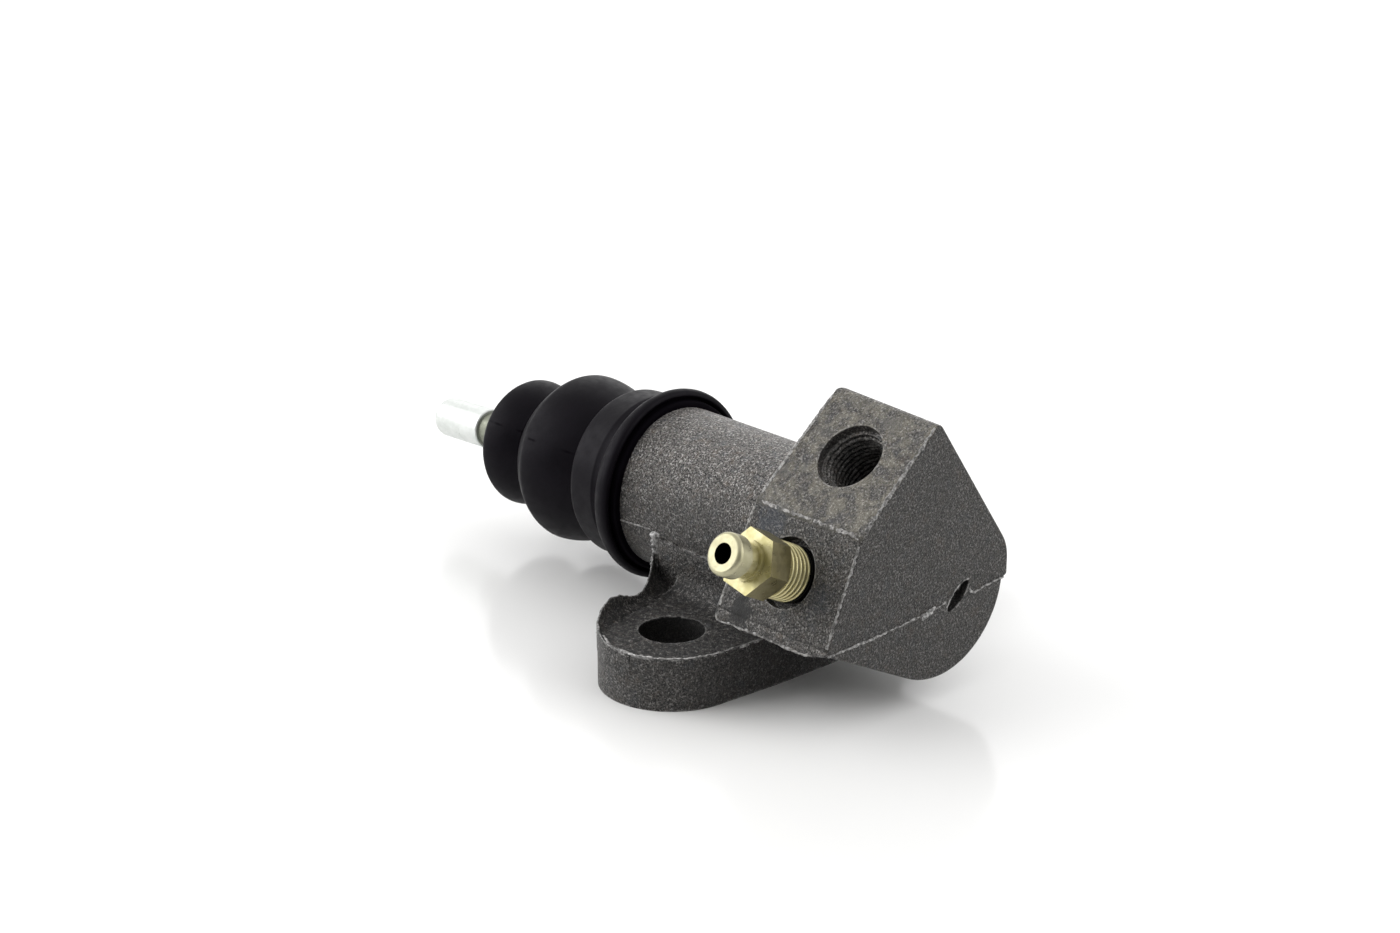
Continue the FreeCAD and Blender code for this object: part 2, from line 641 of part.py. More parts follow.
def boot_curve(distances, inset):
    """The edges of the boot's profile through the given distances, smooth between its ridges and valleys."""
    edges = []
    marks = [distances[0]] + [d for d in boot_marks if distances[0] < d < distances[-1]] + [distances[-1]]
    for start, end in zip(marks[:-1], marks[1:]):
        count = int(math.ceil((end - start) / boot_step))
        points = []
        for i in range(count + 1):
            d = start + (end - start) * i / count
            points.append(Vec(boot_lip_x - d, 0, axis_height + boot_radius(d) - inset))
        if count < 3 or abs(points[0].z - points[-1].z) < 0.001:
            edges.append(Part.LineSegment(points[0], points[-1]).toShape())
        else:
            curve = Part.BSplineCurve()
            curve.interpolate(points)
            edges.append(curve.toShape())
    return edges


def dust_boot():
    """Bellows from the lip that grips the barrel's spigot to the cuff round the rod."""
    start = lip_root / 2.0
    cuff_start = boot_end - boot_cuff
    hole_r = rod_groove_r + boot_rod_clear
    outer = boot_curve([start, boot_end], 0.0)
    inner = boot_curve([start, cuff_start], boot_wall)
    end_x = boot_lip_x - boot_end
    cuff_x = boot_lip_x - cuff_start
    corners = [outer[-1].Vertexes[-1].Point, Vec(end_x, 0, axis_height + hole_r),
               Vec(cuff_x, 0, axis_height + hole_r), inner[-1].Vertexes[-1].Point]
    edges = outer + inner
    edges += [Part.LineSegment(a, b).toShape() for a, b in zip(corners[:-1], corners[1:])]
    edges.append(Part.LineSegment(outer[0].Vertexes[0].Point, inner[0].Vertexes[0].Point).toShape())
    profile = Part.Face(Part.Wire(Part.sortEdges(edges)[0]))
    bellows = profile.revolve(Vec(0, 0, axis_height), Vec(1, 0, 0), 360)
    # the bellows sink with the rod: their line meets the rod's at the cuff
    reach = boot_end - lip_root
    sink = math.degrees(math.atan((axis_height - rod_height(end_x)) / reach))
    bellows.rotate(Vec(boot_lip_x - lip_root, 0, axis_height), Vec(0, 1, 0), -sink)
    # the lip: a bead, a ring beside the barrel and a rib in the spigot's groove
    root_x = boot_lip_x - lip_root
    face_x = shoulder_x - 0.3
    rib_end = shoulder_x - boot_groove_inset - 0.05
    rib_start = rib_end - boot_groove_width + 0.1
    grip_r = spigot_r + 0.05
    rib_r = grip_r - boot_groove_depth
    bead_back = boot_lip_x - 1.6
    root_r = boot_collar_r - 0.5
    lip = turned([(root_x, root_r), (bead_back - 0.9, root_r),
                  (bead_back - 0.1, bead_r - 1.1), (bead_back + 0.5, bead_r - 0.3),
                  (boot_lip_x - 0.4, bead_r), (boot_lip_x + 0.4, bead_r - 0.15),
                  (boot_lip_x + 0.9, bead_r - 0.8), (boot_lip_x + 0.8, bead_r - 1.2),
                  (boot_lip_x + 0.1, bead_r - 1.5), (boot_lip_x + 0.1, lip_ring_r + 0.1),
                  (face_x - 0.3, lip_ring_r), (face_x, lip_ring_r - 0.3), (face_x, grip_r),
                  (rib_end, grip_r), (rib_end, rib_r), (rib_start, rib_r), (rib_start, grip_r),
                  (root_x, grip_r)])
    return bellows.fuse(lip)


boot_marks = (collar_end, valley_one, ridge_one, valley_two, ridge_two, boot_end - boot_neck)

os.makedirs("parts", exist_ok=True)
save("cylinder_body", cylinder_body())
save("bleeder_screw", bleeder_screw())
save("piston", piston())
save("primary_cup", primary_cup())
save("secondary_seal", secondary_seal())
save("cup_spreader", cup_spreader())
save("return_spring", return_spring())
save("retaining_ring", retaining_ring())
save("push_rod", push_rod())
save("dust_boot", dust_boot())
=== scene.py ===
import math

import bpy
import bmesh
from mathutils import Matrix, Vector, noise


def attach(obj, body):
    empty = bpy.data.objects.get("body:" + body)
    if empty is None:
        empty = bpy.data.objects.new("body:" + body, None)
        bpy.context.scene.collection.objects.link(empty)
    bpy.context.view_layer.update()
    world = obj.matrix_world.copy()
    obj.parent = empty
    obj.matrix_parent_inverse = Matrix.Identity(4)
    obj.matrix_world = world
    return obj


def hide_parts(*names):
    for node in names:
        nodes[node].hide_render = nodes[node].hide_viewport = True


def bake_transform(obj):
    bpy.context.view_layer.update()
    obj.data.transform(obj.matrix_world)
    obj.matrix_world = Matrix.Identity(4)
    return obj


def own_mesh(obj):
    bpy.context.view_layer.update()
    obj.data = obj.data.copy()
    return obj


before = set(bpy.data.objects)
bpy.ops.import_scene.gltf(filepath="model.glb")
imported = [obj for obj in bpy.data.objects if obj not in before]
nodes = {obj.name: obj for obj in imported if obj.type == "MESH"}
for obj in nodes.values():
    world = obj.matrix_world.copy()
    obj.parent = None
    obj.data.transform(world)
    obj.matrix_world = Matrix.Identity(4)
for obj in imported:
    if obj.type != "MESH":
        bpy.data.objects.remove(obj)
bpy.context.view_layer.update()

MM = 0.001

# Camera, as fitted to the photograph's frame of 1400 x 933 pixels, in degrees and millimetres
IMAGE_WIDTH = 1400
FOCAL_PIXELS = 2688.6
SENSOR_WIDTH = 36.0
CAMERA_AZIMUTH = 47.46
CAMERA_ELEVATION = 19.99
CAMERA_DISTANCE = 478.4
CAMERA_TARGET = (-16.14, -6.77, 29.67)

# Lamps: name, place, aim and size in millimetres, and power
LAMPS = (("behind", (-420, 420, 300), (0, 0, 10), (700, 560), 0.9),
         ("left", (-450, -400, 330), (0, 0, 20), (640, 560), 3.0),
         ("right", (480, 260, 280), (0, 0, 20), (640, 560), 1.75))

# The studio's own light, on the camera's side and behind the object
WORLD_LOW = 0.25
WORLD_HIGH = 0.90
WORLD_LEAN = 0.75
WORLD_RISE = 0.66

# Floor: half its side in metres, and how far under the object it lies in millimetres
FLOOR_HALF = 2.5
FLOOR_DROP = 0.02

# Sizes that repeat the source's, in millimetres
AXIS_HEIGHT = 20.5
HEAD_END_X = 36.6
HEAD_LEN = 24.7
BARREL_R = 15.0
BOLT_SPACING = 56.2
BOLT_HOLE_R = 5.75
EAR_END_R = 12.8
EAR_TOP = 9.5
BALL_X = -24.2
ROD_DROOP = math.radians(2.85)
BARE_ROD_FROM_BALL = 60.8
VOID_Y = 3.8
VOID_BELOW_AXIS = 2.45
VOID_LEAN = math.radians(43.0)

# The directions in which the head's two port faces rise, in degrees from +Y
FRONT_RISE = 66.1
TOP_RISE = 42.0


def mm(x, y, z):
    """A point given in millimetres, in Blender's metres."""
    return Vector((x, y, z)) * MM


def polar(degrees, length=1.0):
    """A step in the (y, z) plane at an angle from +Y."""
    angle = math.radians(degrees)
    return Vector((0.0, length * math.cos(angle), length * math.sin(angle)))


FRONT_LOW = Vector((HEAD_END_X, -27.8, AXIS_HEIGHT - 4.2))
FRONT_HIGH = FRONT_LOW + polar(FRONT_RISE, 20.0)
HEAD_TOP = FRONT_HIGH + polar(TOP_RISE, 23.8)
BLEEDER_FACE_OUT = polar(FRONT_RISE + 90.0)
BLEEDER_AXIS = polar(153.1)
BLEEDER_MOUTH = FRONT_HIGH + polar(FRONT_RISE + 180.0, 9.6) - Vector((13.3, 0, 0))
INLET_AXIS = polar(TOP_RISE + 90.0)
INLET_MOUTH = FRONT_HIGH + polar(TOP_RISE, 12.8) - Vector((12.4, 0, 0))


def new_piece(name, vertices, faces, material, body, smooth=True):
    """A mesh given in millimetres, made into a piece that rides a body."""
    mesh = bpy.data.meshes.new(name)
    mesh.from_pydata([tuple(Vector(v) * MM) for v in vertices], [], faces)
    mesh.validate()
    shell = bmesh.new()
    shell.from_mesh(mesh)
    bmesh.ops.recalc_face_normals(shell, faces=shell.faces)
    shell.to_mesh(mesh)
    shell.free()
    mesh.materials.append(material)
    mesh.polygons.foreach_set("use_smooth", [smooth] * len(mesh.polygons))
    piece = bpy.data.objects.new(name, mesh)
    bpy.context.scene.collection.objects.link(piece)
    if body:
        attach(piece, body)
    return piece


def skin(rings, closed_path=False):
    """Faces between successive closed rings of equal size, capped unless the path closes too."""
    size = len(rings[0])
    count = len(rings)
    vertices = [point for ring in rings for point in ring]
    faces = []
    for i in range(count if closed_path else count - 1):
        ahead = (i + 1) % count
        for j in range(size):
            beside = (j + 1) % size
            faces.append((i * size + j, i * size + beside, ahead * size + beside, ahead * size + j))
    if not closed_path:
        faces.append(tuple(range(size)))
        faces.append(tuple((count - 1) * size + j for j in reversed(range(size))))
    return vertices, faces


def resampled(points, step):
    """Points a step apart along a broken line of tuples, all their values mixed in the same way."""
    out = [tuple(points[0])]
    for start, end in zip(points[:-1], points[1:]):
        length = (Vector(end[:3]) - Vector(start[:3])).length
        count = max(1, int(math.ceil(length / step)))
        for i in range(count):
            share = (i + 1) / count
            out.append(tuple(a + (b - a) * share for a, b in zip(start, end)))
    return out


def heading(samples, i, size):
    """The way along a row of samples at one of them, in its first two or three values."""
    ahead = samples[min(i + 1, len(samples) - 1)][:size]
    behind = samples[max(i - 1, 0)][:size]
    return Vector(ahead) - Vector(behind)


def jitter(point, scale, amount, seed):
    """Smooth noise at a point, about zero."""
    return amount * noise.noise(Vector(point) * scale + Vector((seed * 7.3, seed * 3.1, seed * 5.7)))


# The ridges' sample step and least height, in millimetres
RIDGE_STEP = 0.22
RIDGE_LEAST = 0.02


def ridge(name, path, out, material, seed, sink=0.25, rough=0.9, wander=0.08):
    """A ragged ridge of flash along a path of (x, y, z, width, height), standing out of the casting."""
    samples = resampled(path, RIDGE_STEP)
    out = Vector(out).normalized()
    last = len(samples) - 1
    rings = []
    for i, (x, y, z, width, height) in enumerate(samples):
        here = Vector((x, y, z))
        side = heading(samples, i, 3).cross(out).normalized()
        here = here + side * jitter(here, 1.3, wander * 2.0, seed)
        wide = width * (1.0 + jitter(here, 1.1, rough, seed + 1))
        teeth = jitter(here, 1.7, rough * 1.6, seed + 2) + jitter(here, 4.0, rough * 0.8, seed + 3)
        fade = min(1.0, min(i, last - i) / 3.0)
        high = max(RIDGE_LEAST, height * (1.0 + teeth) * fade)
        lean = jitter(here, 0.9, 0.35, seed + 4) * wide
        section = ((-0.5 * wide, -sink), (-0.34 * wide, 0.55 * high), (lean - 0.12 * wide, high),
                   (lean + 0.14 * wide, 0.93 * high), (0.36 * wide, 0.5 * high), (0.5 * wide, -sink))
        rings.append([here + side * across + out * up for across, up in section])
    vertices, faces = skin(rings)
    return new_piece(name, vertices, faces, material, "housing", smooth=False)


# The threads, in millimetres and shares of the pitch
THREAD_PITCH = 1.0
THREAD_SIDES = 72
THREAD_FADE = 0.2
THREAD_FOOT = 0.46
THREAD_CREST = 0.12


def helix(name, mouth, axis, root_r, crest_r, low, high, body, material):
    """A screw thread's ridge, from low to high, counted outwards from the face."""
    across = Vector((1.0, 0.0, 0.0))
    other = axis.cross(across)
    count = int((high - low) / THREAD_PITCH * THREAD_SIDES)
    rings = []
    for i in range(count + 1):
        turn = 2.0 * math.pi * i / THREAD_SIDES
        way = across * math.cos(turn) + other * math.sin(turn)
        fade = min(1.0, min(i, count - i) / (THREAD_SIDES * THREAD_FADE))
        crest = root_r + (crest_r - root_r) * fade
        centre = mouth + axis * (low + THREAD_PITCH * i / THREAD_SIDES)
        section = ((-THREAD_FOOT, root_r), (-THREAD_CREST, crest),
                   (THREAD_CREST, crest), (THREAD_FOOT, root_r))
        rings.append([centre + axis * (share * THREAD_PITCH) + way * radius for share, radius in section])
    vertices, faces = skin(rings)
    return new_piece(name, vertices, faces, material, body)


class Shader:
    """A small helper that builds one material from nodes. Distances within nodes are in metres."""

    def __init__(self, name):
        self.material = bpy.data.materials.new(name)
        self.material.use_nodes = True
        self.tree = self.material.node_tree
        self.tree.nodes.clear()
        self.output = self.tree.nodes.new("ShaderNodeOutputMaterial")
        self.bsdf = self.tree.nodes.new("ShaderNodeBsdfPrincipled")
        self.tree.links.new(self.bsdf.outputs[0], self.output.inputs["Surface"])
        self.coords = self.tree.nodes.new("ShaderNodeTexCoord").outputs["Object"]

    def feed(self, socket, value):
        """A link where the value comes from a node, else the socket's own value."""
        if isinstance(value, bpy.types.NodeSocket):
            self.tree.links.new(value, socket)
        else:
            socket.default_value = value

    def node(self, kind, inputs=None, **settings):
        """A new node with its settings and inputs filled in."""
        made = self.tree.nodes.new(kind)
        for key, value in settings.items():
            setattr(made, key, value)
        for key, value in (inputs or {}).items():
            self.feed(made.inputs[key], value)
        return made

    def set(self, **inputs):
        """Inputs of the surface, with _ for each space in their names."""
        for key, value in inputs.items():
            self.feed(self.bsdf.inputs[key.replace("_", " ")], value)

    def noise(self, scale, detail=3.0, rough=0.55, distort=0.0):
        """Cloudy noise between 0 and 1."""
        made = self.node("ShaderNodeTexNoise", {"Vector": self.coords, "Scale": scale, "Detail": detail,
                                                "Roughness": rough, "Distortion": distort})
        return made.outputs["Fac"]

    def span(self, value, low, high, out_low=0.0, out_high=1.0):
        """A smooth step from out_low at low to out_high at high."""
        made = self.node("ShaderNodeMapRange", {0: value, 1: low, 2: high, 3: out_low, 4: out_high})
        made.interpolation_type = "SMOOTHSTEP"
        return made.outputs[0]

    def span_mm(self, value, low, high, out_low=0.0, out_high=1.0):
        """The same over a distance, with its two marks in millimetres."""
        return self.span(value, low * MM, high * MM, out_low, out_high)

    def math(self, operation, a, b=0.0):
        """One operation on two values."""
        return self.node("ShaderNodeMath", {0: a, 1: b}, operation=operation).outputs[0]

    def times(self, a, b):
        """The product of two values."""
        return self.math("MULTIPLY", a, b)

    def vectors(self, operation, a, b=(0.0, 0.0, 0.0)):
        """The outputs of one operation on two vectors."""
        return self.node("ShaderNodeVectorMath", {0: a, 1: b}, operation=operation).outputs

    def dot(self, direction, vector=None):
        """How far a place, or another vector, reaches in a direction."""
        return self.vectors("DOT_PRODUCT", vector or self.coords, tuple(direction))["Value"]

    def away(self, point, vector=None):
        """The distance of a place, or another vector, from a point in millimetres."""
        return self.vectors("DISTANCE", vector or self.coords, tuple(Vector(point) * MM))["Value"]

    def off_plane(self, point, direction):
        """The distance from the plane through a point in millimetres."""
        return self.math("ABSOLUTE", self.math("SUBTRACT", self.dot(direction), point.dot(direction) * MM))

    def flattened(self, keep):
        """The place with some of its coordinates set to zero."""
        return self.vectors("MULTIPLY", self.coords, keep)["Vector"]

    def normal(self):
        """The surface's direction."""
        return self.node("ShaderNodeNewGeometry").outputs["Normal"]

    def edges(self, radius):
        """High where the surface turns sharply within a radius in millimetres."""
        made = self.node("ShaderNodeBevel", {"Radius": radius * MM}, samples=6)
        facing = self.vectors("DOT_PRODUCT", made.outputs[0], self.normal())["Value"]
        return self.span(facing, 0.985, 0.88)

    def scaled(self, color, factor):
        """A colour made brighter or darker."""
        return self.node("ShaderNodeVectorMath", {0: color, 3: factor}, operation="SCALE").outputs["Vector"]

    def mix(self, share, a, b):
        """Colour a, with a share of colour b."""
        made = self.node("ShaderNodeMix", {"Factor": share}, data_type="RGBA")
        self.feed(made.inputs[6], a)
        self.feed(made.inputs[7], b)
        return made.outputs[2]

    def bump(self, height, distance, strength=1.0, normal=None):
        """Relief of a depth in millimetres, on top of another relief where one is given."""
        made = self.node("ShaderNodeBump", {"Height": height, "Distance": distance * MM,
                                            "Strength": strength})
        if normal is not None:
            self.feed(made.inputs["Normal"], normal)
        return made.outputs[0]


def color(red, green, blue):
    """A colour as Blender takes it."""
    return (red, green, blue, 1.0)


def grey(level, warm=0.0):
    """A grey, a little warmer or cooler."""
    return color(level * (1.0 + warm), level, level * (1.0 - warm))


def darker(tone, factor):
    """The same colour at a share of its brightness."""
    return color(*(part * factor for part in tone[:3]))


# How far off a port face its own tones fade out, in millimetres
FACE_NEAR = 0.15
FACE_FAR = 0.4

# The ears' zone, dark with oil and painted shade, and the void's painted shade, in millimetres: where each
# starts and stops fading
OIL_AND_SHADE_ENDS_Z = (13.0, 17.0)
OIL_AND_SHADE_STARTS_Y = (13.5, 15.0)
VOID_SHADE_R = (3.4, 3.7)

# The dark blot and the bluish stains on the head: place in millimetres, and share
BLOT_PLACE = (15.8, -27.2, 17.8)
BLUE_STAINS = (((16.6, -20.6, 32.4), 0.5), ((31.5, -24.6, 24.0), 0.3))
STAIN_RAGGED = 9.0 * MM

# Colours of the casting
GRAIN_DARK = grey(0.002, 0.05)
GRAIN_PALE = grey(0.080, 0.07)
SPARKLE = grey(0.26, 0.04)
RUSTY = color(0.095, 0.065, 0.042)
DAMP = color(0.040, 0.052, 0.066)
CLOUDY = grey(0.028, 0.05)
MOTTLE_DARK = grey(0.014, 0.05)
MOTTLE_YELLOW = color(0.112, 0.103, 0.079)
PATCH = color(0.026, 0.027, 0.031)
BLOT = grey(0.006)
BLUE = color(0.028, 0.038, 0.056)
RUBBED_EDGE = grey(0.36, 0.02)


def iron_grain(s, fine):
    """Dark and pale grains, a few that sparkle, and rusty, damp and cloudy places."""
    tone = s.mix(s.span(fine, 0.42, 0.58), GRAIN_DARK, GRAIN_PALE)
    tone = s.mix(s.span(s.noise(2700.0, 1.0, 0.5), 0.56, 0.68, 0.0, 0.75), tone, SPARKLE)
    rust = s.noise(480.0, 3.0, 0.7, distort=0.3)
    tone = s.mix(s.span(rust, 0.54, 0.74, 0.0, 0.30), tone, RUSTY)
    tone = s.mix(s.span(rust, 0.46, 0.30, 0.0, 0.25), tone, DAMP)
    broad = s.noise(75.0, 4.0, 0.6)
    return s.mix(s.span(broad, 0.45, 0.72, 0.0, 0.25), tone, CLOUDY)


def iron_stains(s, tone):
    """The inlet face's yellowish mottle and dark patches, and the stains on the bleeder's face."""
    on_inlet = s.span_mm(s.off_plane(INLET_MOUTH, INLET_AXIS), FACE_NEAR, FACE_FAR, 1.0, 0.0)
    mottle = s.mix(s.span(s.noise(360.0, 4.0, 0.7, distort=0.5), 0.38, 0.60), MOTTLE_DARK, MOTTLE_YELLOW)
    tone = s.mix(s.times(on_inlet, 0.48), tone, mottle)
    patchy = s.span(s.noise(230.0, 3.0, 0.6, distort=0.4), 0.52, 0.66, 0.0, 0.42)
    tone = s.mix(s.times(on_inlet, patchy), tone, PATCH)
    ragged = s.times(s.math("SUBTRACT", s.noise(750.0, 4.0, 0.7), 0.5), STAIN_RAGGED)
    blot = s.span_mm(s.math("ADD", s.away(BLOT_PLACE), ragged), 1.7, 3.4, 0.92, 0.0)
    tone = s.mix(blot, tone, BLOT)
    for place, share in BLUE_STAINS:
        stained = s.span_mm(s.math("ADD", s.away(place), ragged), 1.0, 4.5, share, 0.0)
        tone = s.mix(stained, tone, BLUE)
    return tone


def iron_level(s):
    """How bright each place of the casting is: a painted sheen where it faces up, oil and painted shade on
    the ears, and painted shade where the light misses.
    """
    # what faces up is paler, a painted sheen, and the ears are dark with oil and painted shade, with a
    # coarse speckle
    facing_up = s.dot((0.0, 0.0, 1.0), s.normal())
    # painted sheen: faces that turn up are made paler in colour
    painted_sheen = s.span(facing_up, 0.05, 0.85)
    low_down = s.span_mm(s.dot((0.0, 0.0, 1.0)), *OIL_AND_SHADE_ENDS_Z, 1.0, 0.0)
    beside = s.span_mm(s.math("ABSOLUTE", s.dot((0.0, 1.0, 0.0))), *OIL_AND_SHADE_STARTS_Y)
    # the ears' darkening is part oil, part painted shade under the barrel
    oil_and_shade = s.times(low_down, beside)
    level = s.math("ADD", 0.91, s.times(painted_sheen, s.math("SUBTRACT", 1.15, s.times(oil_and_shade, 1.55))))
    speckled = s.span(s.noise(1050.0, 3.0, 0.75), 0.42, 0.60, 0.30, 2.4)
    on_ear = s.times(oil_and_shade, painted_sheen)
    level = s.times(level, s.math("ADD", 1.0, s.times(on_ear, s.math("SUBTRACT", speckled, 1.0))))
    # the bleeder's face is darker than the inlet's
    off_bleeder = s.off_plane(BLEEDER_MOUTH, BLEEDER_FACE_OUT)
    level = s.times(level, s.span_mm(off_bleeder, FACE_NEAR, FACE_FAR, 0.77, 1.0))
    # the bolt holes are painted dark inside as shade, with a paler rim where the washer bore
    from_above = s.flattened((1.0, 1.0, 0.0))
    for hole_y in (-BOLT_SPACING / 2, BOLT_SPACING / 2):
        from_hole = s.away((0, hole_y, 0), from_above)
        rim = s.span_mm(from_hole, BOLT_HOLE_R + 0.05, BOLT_HOLE_R + 1.05, 0.9, 0.0)
        level = s.times(level, s.math("ADD", 1.0, s.times(rim, s.span(facing_up, 0.8, 0.95))))
        level = s.times(level, s.span_mm(from_hole, BOLT_HOLE_R + 0.01, BOLT_HOLE_R + 0.07, 0.15, 1.0))
    # the end face is darker, and its void is black on the side that the light misses
    on_end = s.span(s.dot((1.0, 0.0, 0.0), s.normal()), 0.85, 0.97)
    level = s.times(level, s.math("SUBTRACT", 1.0, s.times(on_end, 0.26)))
    void_centre = (HEAD_END_X, VOID_Y, AXIS_HEIGHT - VOID_BELOW_AXIS)
    near_void = s.span_mm(s.away(void_centre), *VOID_SHADE_R, 1.0, 0.0)
    sunk = s.span_mm(s.dot((1.0, 0.0, 0.0)), HEAD_END_X - 0.30, HEAD_END_X - 0.10, 1.0, 0.0)
    return s.times(level, s.math("SUBTRACT", 1.0, s.times(s.times(near_void, sunk), 0.8)))


def cast_iron():
    """Sand-cast iron: a dark speckled skin, paler where it faces up as a painted sheen, bright on its worn
    edges.
    """
    s = Shader("cast_iron")
    fine = s.noise(3200.0, 2.0, 0.75)
    grain = s.noise(850.0, 3.0, 0.6)
    tone = s.scaled(iron_stains(s, iron_grain(s, fine)), iron_level(s))
    worn = s.times(s.edges(0.6), s.span(s.noise(620.0, 3.0, 0.65), 0.42, 0.62))
    s.set(Base_Color=s.mix(s.times(worn, 0.8), tone, RUBBED_EDGE))
    s.set(Roughness=s.span(grain, 0.3, 0.8, 0.40, 0.60))
    s.set(Metallic=0.25)
    s.set(Specular_IOR_Level=0.5)
    s.set(Normal=s.bump(fine, 0.28, 1.0, s.bump(grain, 0.30, 0.9)))
    return s.material


def worn_iron(name, dark, light):
    """Iron laid bare on an edge or a torn fin: a sparkle of pale grains among dark ones."""
    s = Shader(name)
    grain = s.noise(1500.0, 3.0, 0.65)
    s.set(Base_Color=s.mix(s.span(grain, 0.36, 0.66), dark, light))
    s.set(Metallic=0.3)
    s.set(Roughness=0.45)
    s.set(Normal=s.bump(grain, 0.2, 0.8))
    return s.material


def plated(name, clean, dull, roughness, grime_and_shade):
    """Zinc plate, clear or yellow, a little uneven, with the dirt and painted shade that the given function
    adds to it.
    """
    s = Shader(name)
    tone = s.mix(s.span(s.noise(420.0, 3.0, 0.6), 0.38, 0.66), clean, dull)
    dirt = s.span(s.noise(1100.0, 4.0, 0.7), 0.60, 0.72, 0.0, 0.3)
    tone = s.mix(dirt, tone, darker(dull, 0.35))
    s.set(Base_Color=grime_and_shade(s, tone))
    s.set(Metallic=0.75)
    s.set(Roughness=s.span(s.noise(900.0, 2.0), 0.3, 0.7, roughness * 0.8, roughness * 1.25))
    s.set(Normal=s.bump(s.noise(2500.0, 2.0), 0.03, 0.35))
    return s.material


# The bleeder's own marks, in millimetres: radii, and levels out of the mouth of its hole
NIPPLE_BORE_R = 1.76
THREAD_ROOT_R = 4.65
HEXAGON_FROM_R = 4.94
THREAD_LEVEL = 4.8
NIPPLE_LEVEL = 11.8
# The last three colours are painted shade: in the thread's roots, on the hexagon's sides, and black below
# the mouth and in the bore
THREAD_YELLOW = color(0.70, 0.63, 0.34)
THREAD_ROOT_SHADE = color(0.10, 0.085, 0.03)
NIPPLE_PALE = color(0.40, 0.385, 0.28)
HEXAGON_SIDE_SHADE = color(0.095, 0.075, 0.030)
SHADOW_BLACK = color(0.003, 0.003, 0.002)


def bleeder_tone_and_shade(s, tone):
    """Painted shade, black below the mouth and in the bore, dark in the thread and on the sides of the
    hexagon; and the yellower thread and paler nipple.
    """
    offset = s.vectors("SUBTRACT", s.coords, tuple(BLEEDER_MOUTH * MM))["Vector"]
    level = s.math("SUBTRACT", s.dot(BLEEDER_AXIS), BLEEDER_MOUTH.dot(BLEEDER_AXIS) * MM)
    lever = s.vectors("CROSS_PRODUCT", offset, tuple(BLEEDER_AXIS))["Vector"]
    radius = s.vectors("LENGTH", lever)["Value"]
    on_thread = s.span_mm(level, THREAD_LEVEL, THREAD_LEVEL + 0.2, 1.0, 0.0)
    tone = s.mix(s.times(on_thread, 0.55), tone, THREAD_YELLOW)
    tone = s.mix(s.span_mm(level, NIPPLE_LEVEL, NIPPLE_LEVEL + 0.7, 0.0, 0.6), tone, NIPPLE_PALE)
    # painted shade in the thread's roots
    root_shade = s.times(s.span_mm(radius, THREAD_ROOT_R, THREAD_ROOT_R + 0.07, 0.6, 0.0), on_thread)
    tone = s.mix(root_shade, tone, THREAD_ROOT_SHADE)
    # painted shade on the hexagon's side faces
    turned_out = s.math("ABSOLUTE", s.dot(BLEEDER_AXIS, s.normal()))
    wide = s.span_mm(radius, HEXAGON_FROM_R, HEXAGON_FROM_R + 0.04)
    on_hexagon = s.times(wide, s.span(turned_out, 0.15, 0.5, 1.0, 0.0))
    tone = s.mix(s.times(on_hexagon, 0.68), tone, HEXAGON_SIDE_SHADE)
    # painted black shade below the mouth and in the bore
    below = s.span_mm(level, -0.3, 0.1, 1.0, 0.0)
    in_bore = s.span_mm(radius, NIPPLE_BORE_R, NIPPLE_BORE_R + 0.06, 1.0, 0.0)
    return s.mix(s.math("MAXIMUM", below, in_bore), tone, SHADOW_BLACK)


GROOVE_FILM = color(0.24, 0.25, 0.20)


def rod_grime(s, tone):
    """A grey-green film in the groove beside the boot, up to the bare end of the rod."""
    way = Vector((-math.cos(ROD_DROOP), 0.0, -math.sin(ROD_DROOP)))
    step = Vector((BALL_X, 0.0, AXIS_HEIGHT)).dot(way) + BARE_ROD_FROM_BALL
    return s.mix(s.span_mm(s.dot(way), step - 0.1, step + 0.1, 1.0, 0.0), tone, GROOVE_FILM)


# The boot's dull marks: a painted shadow ring under its lip, and the mould seam along its folds
LIP_SHADOW_X = -33.1
LIP_SHADOW_R = 16.8
SEAM_ANGLE = math.radians(157.0)
SEAM_END_X = -47.0


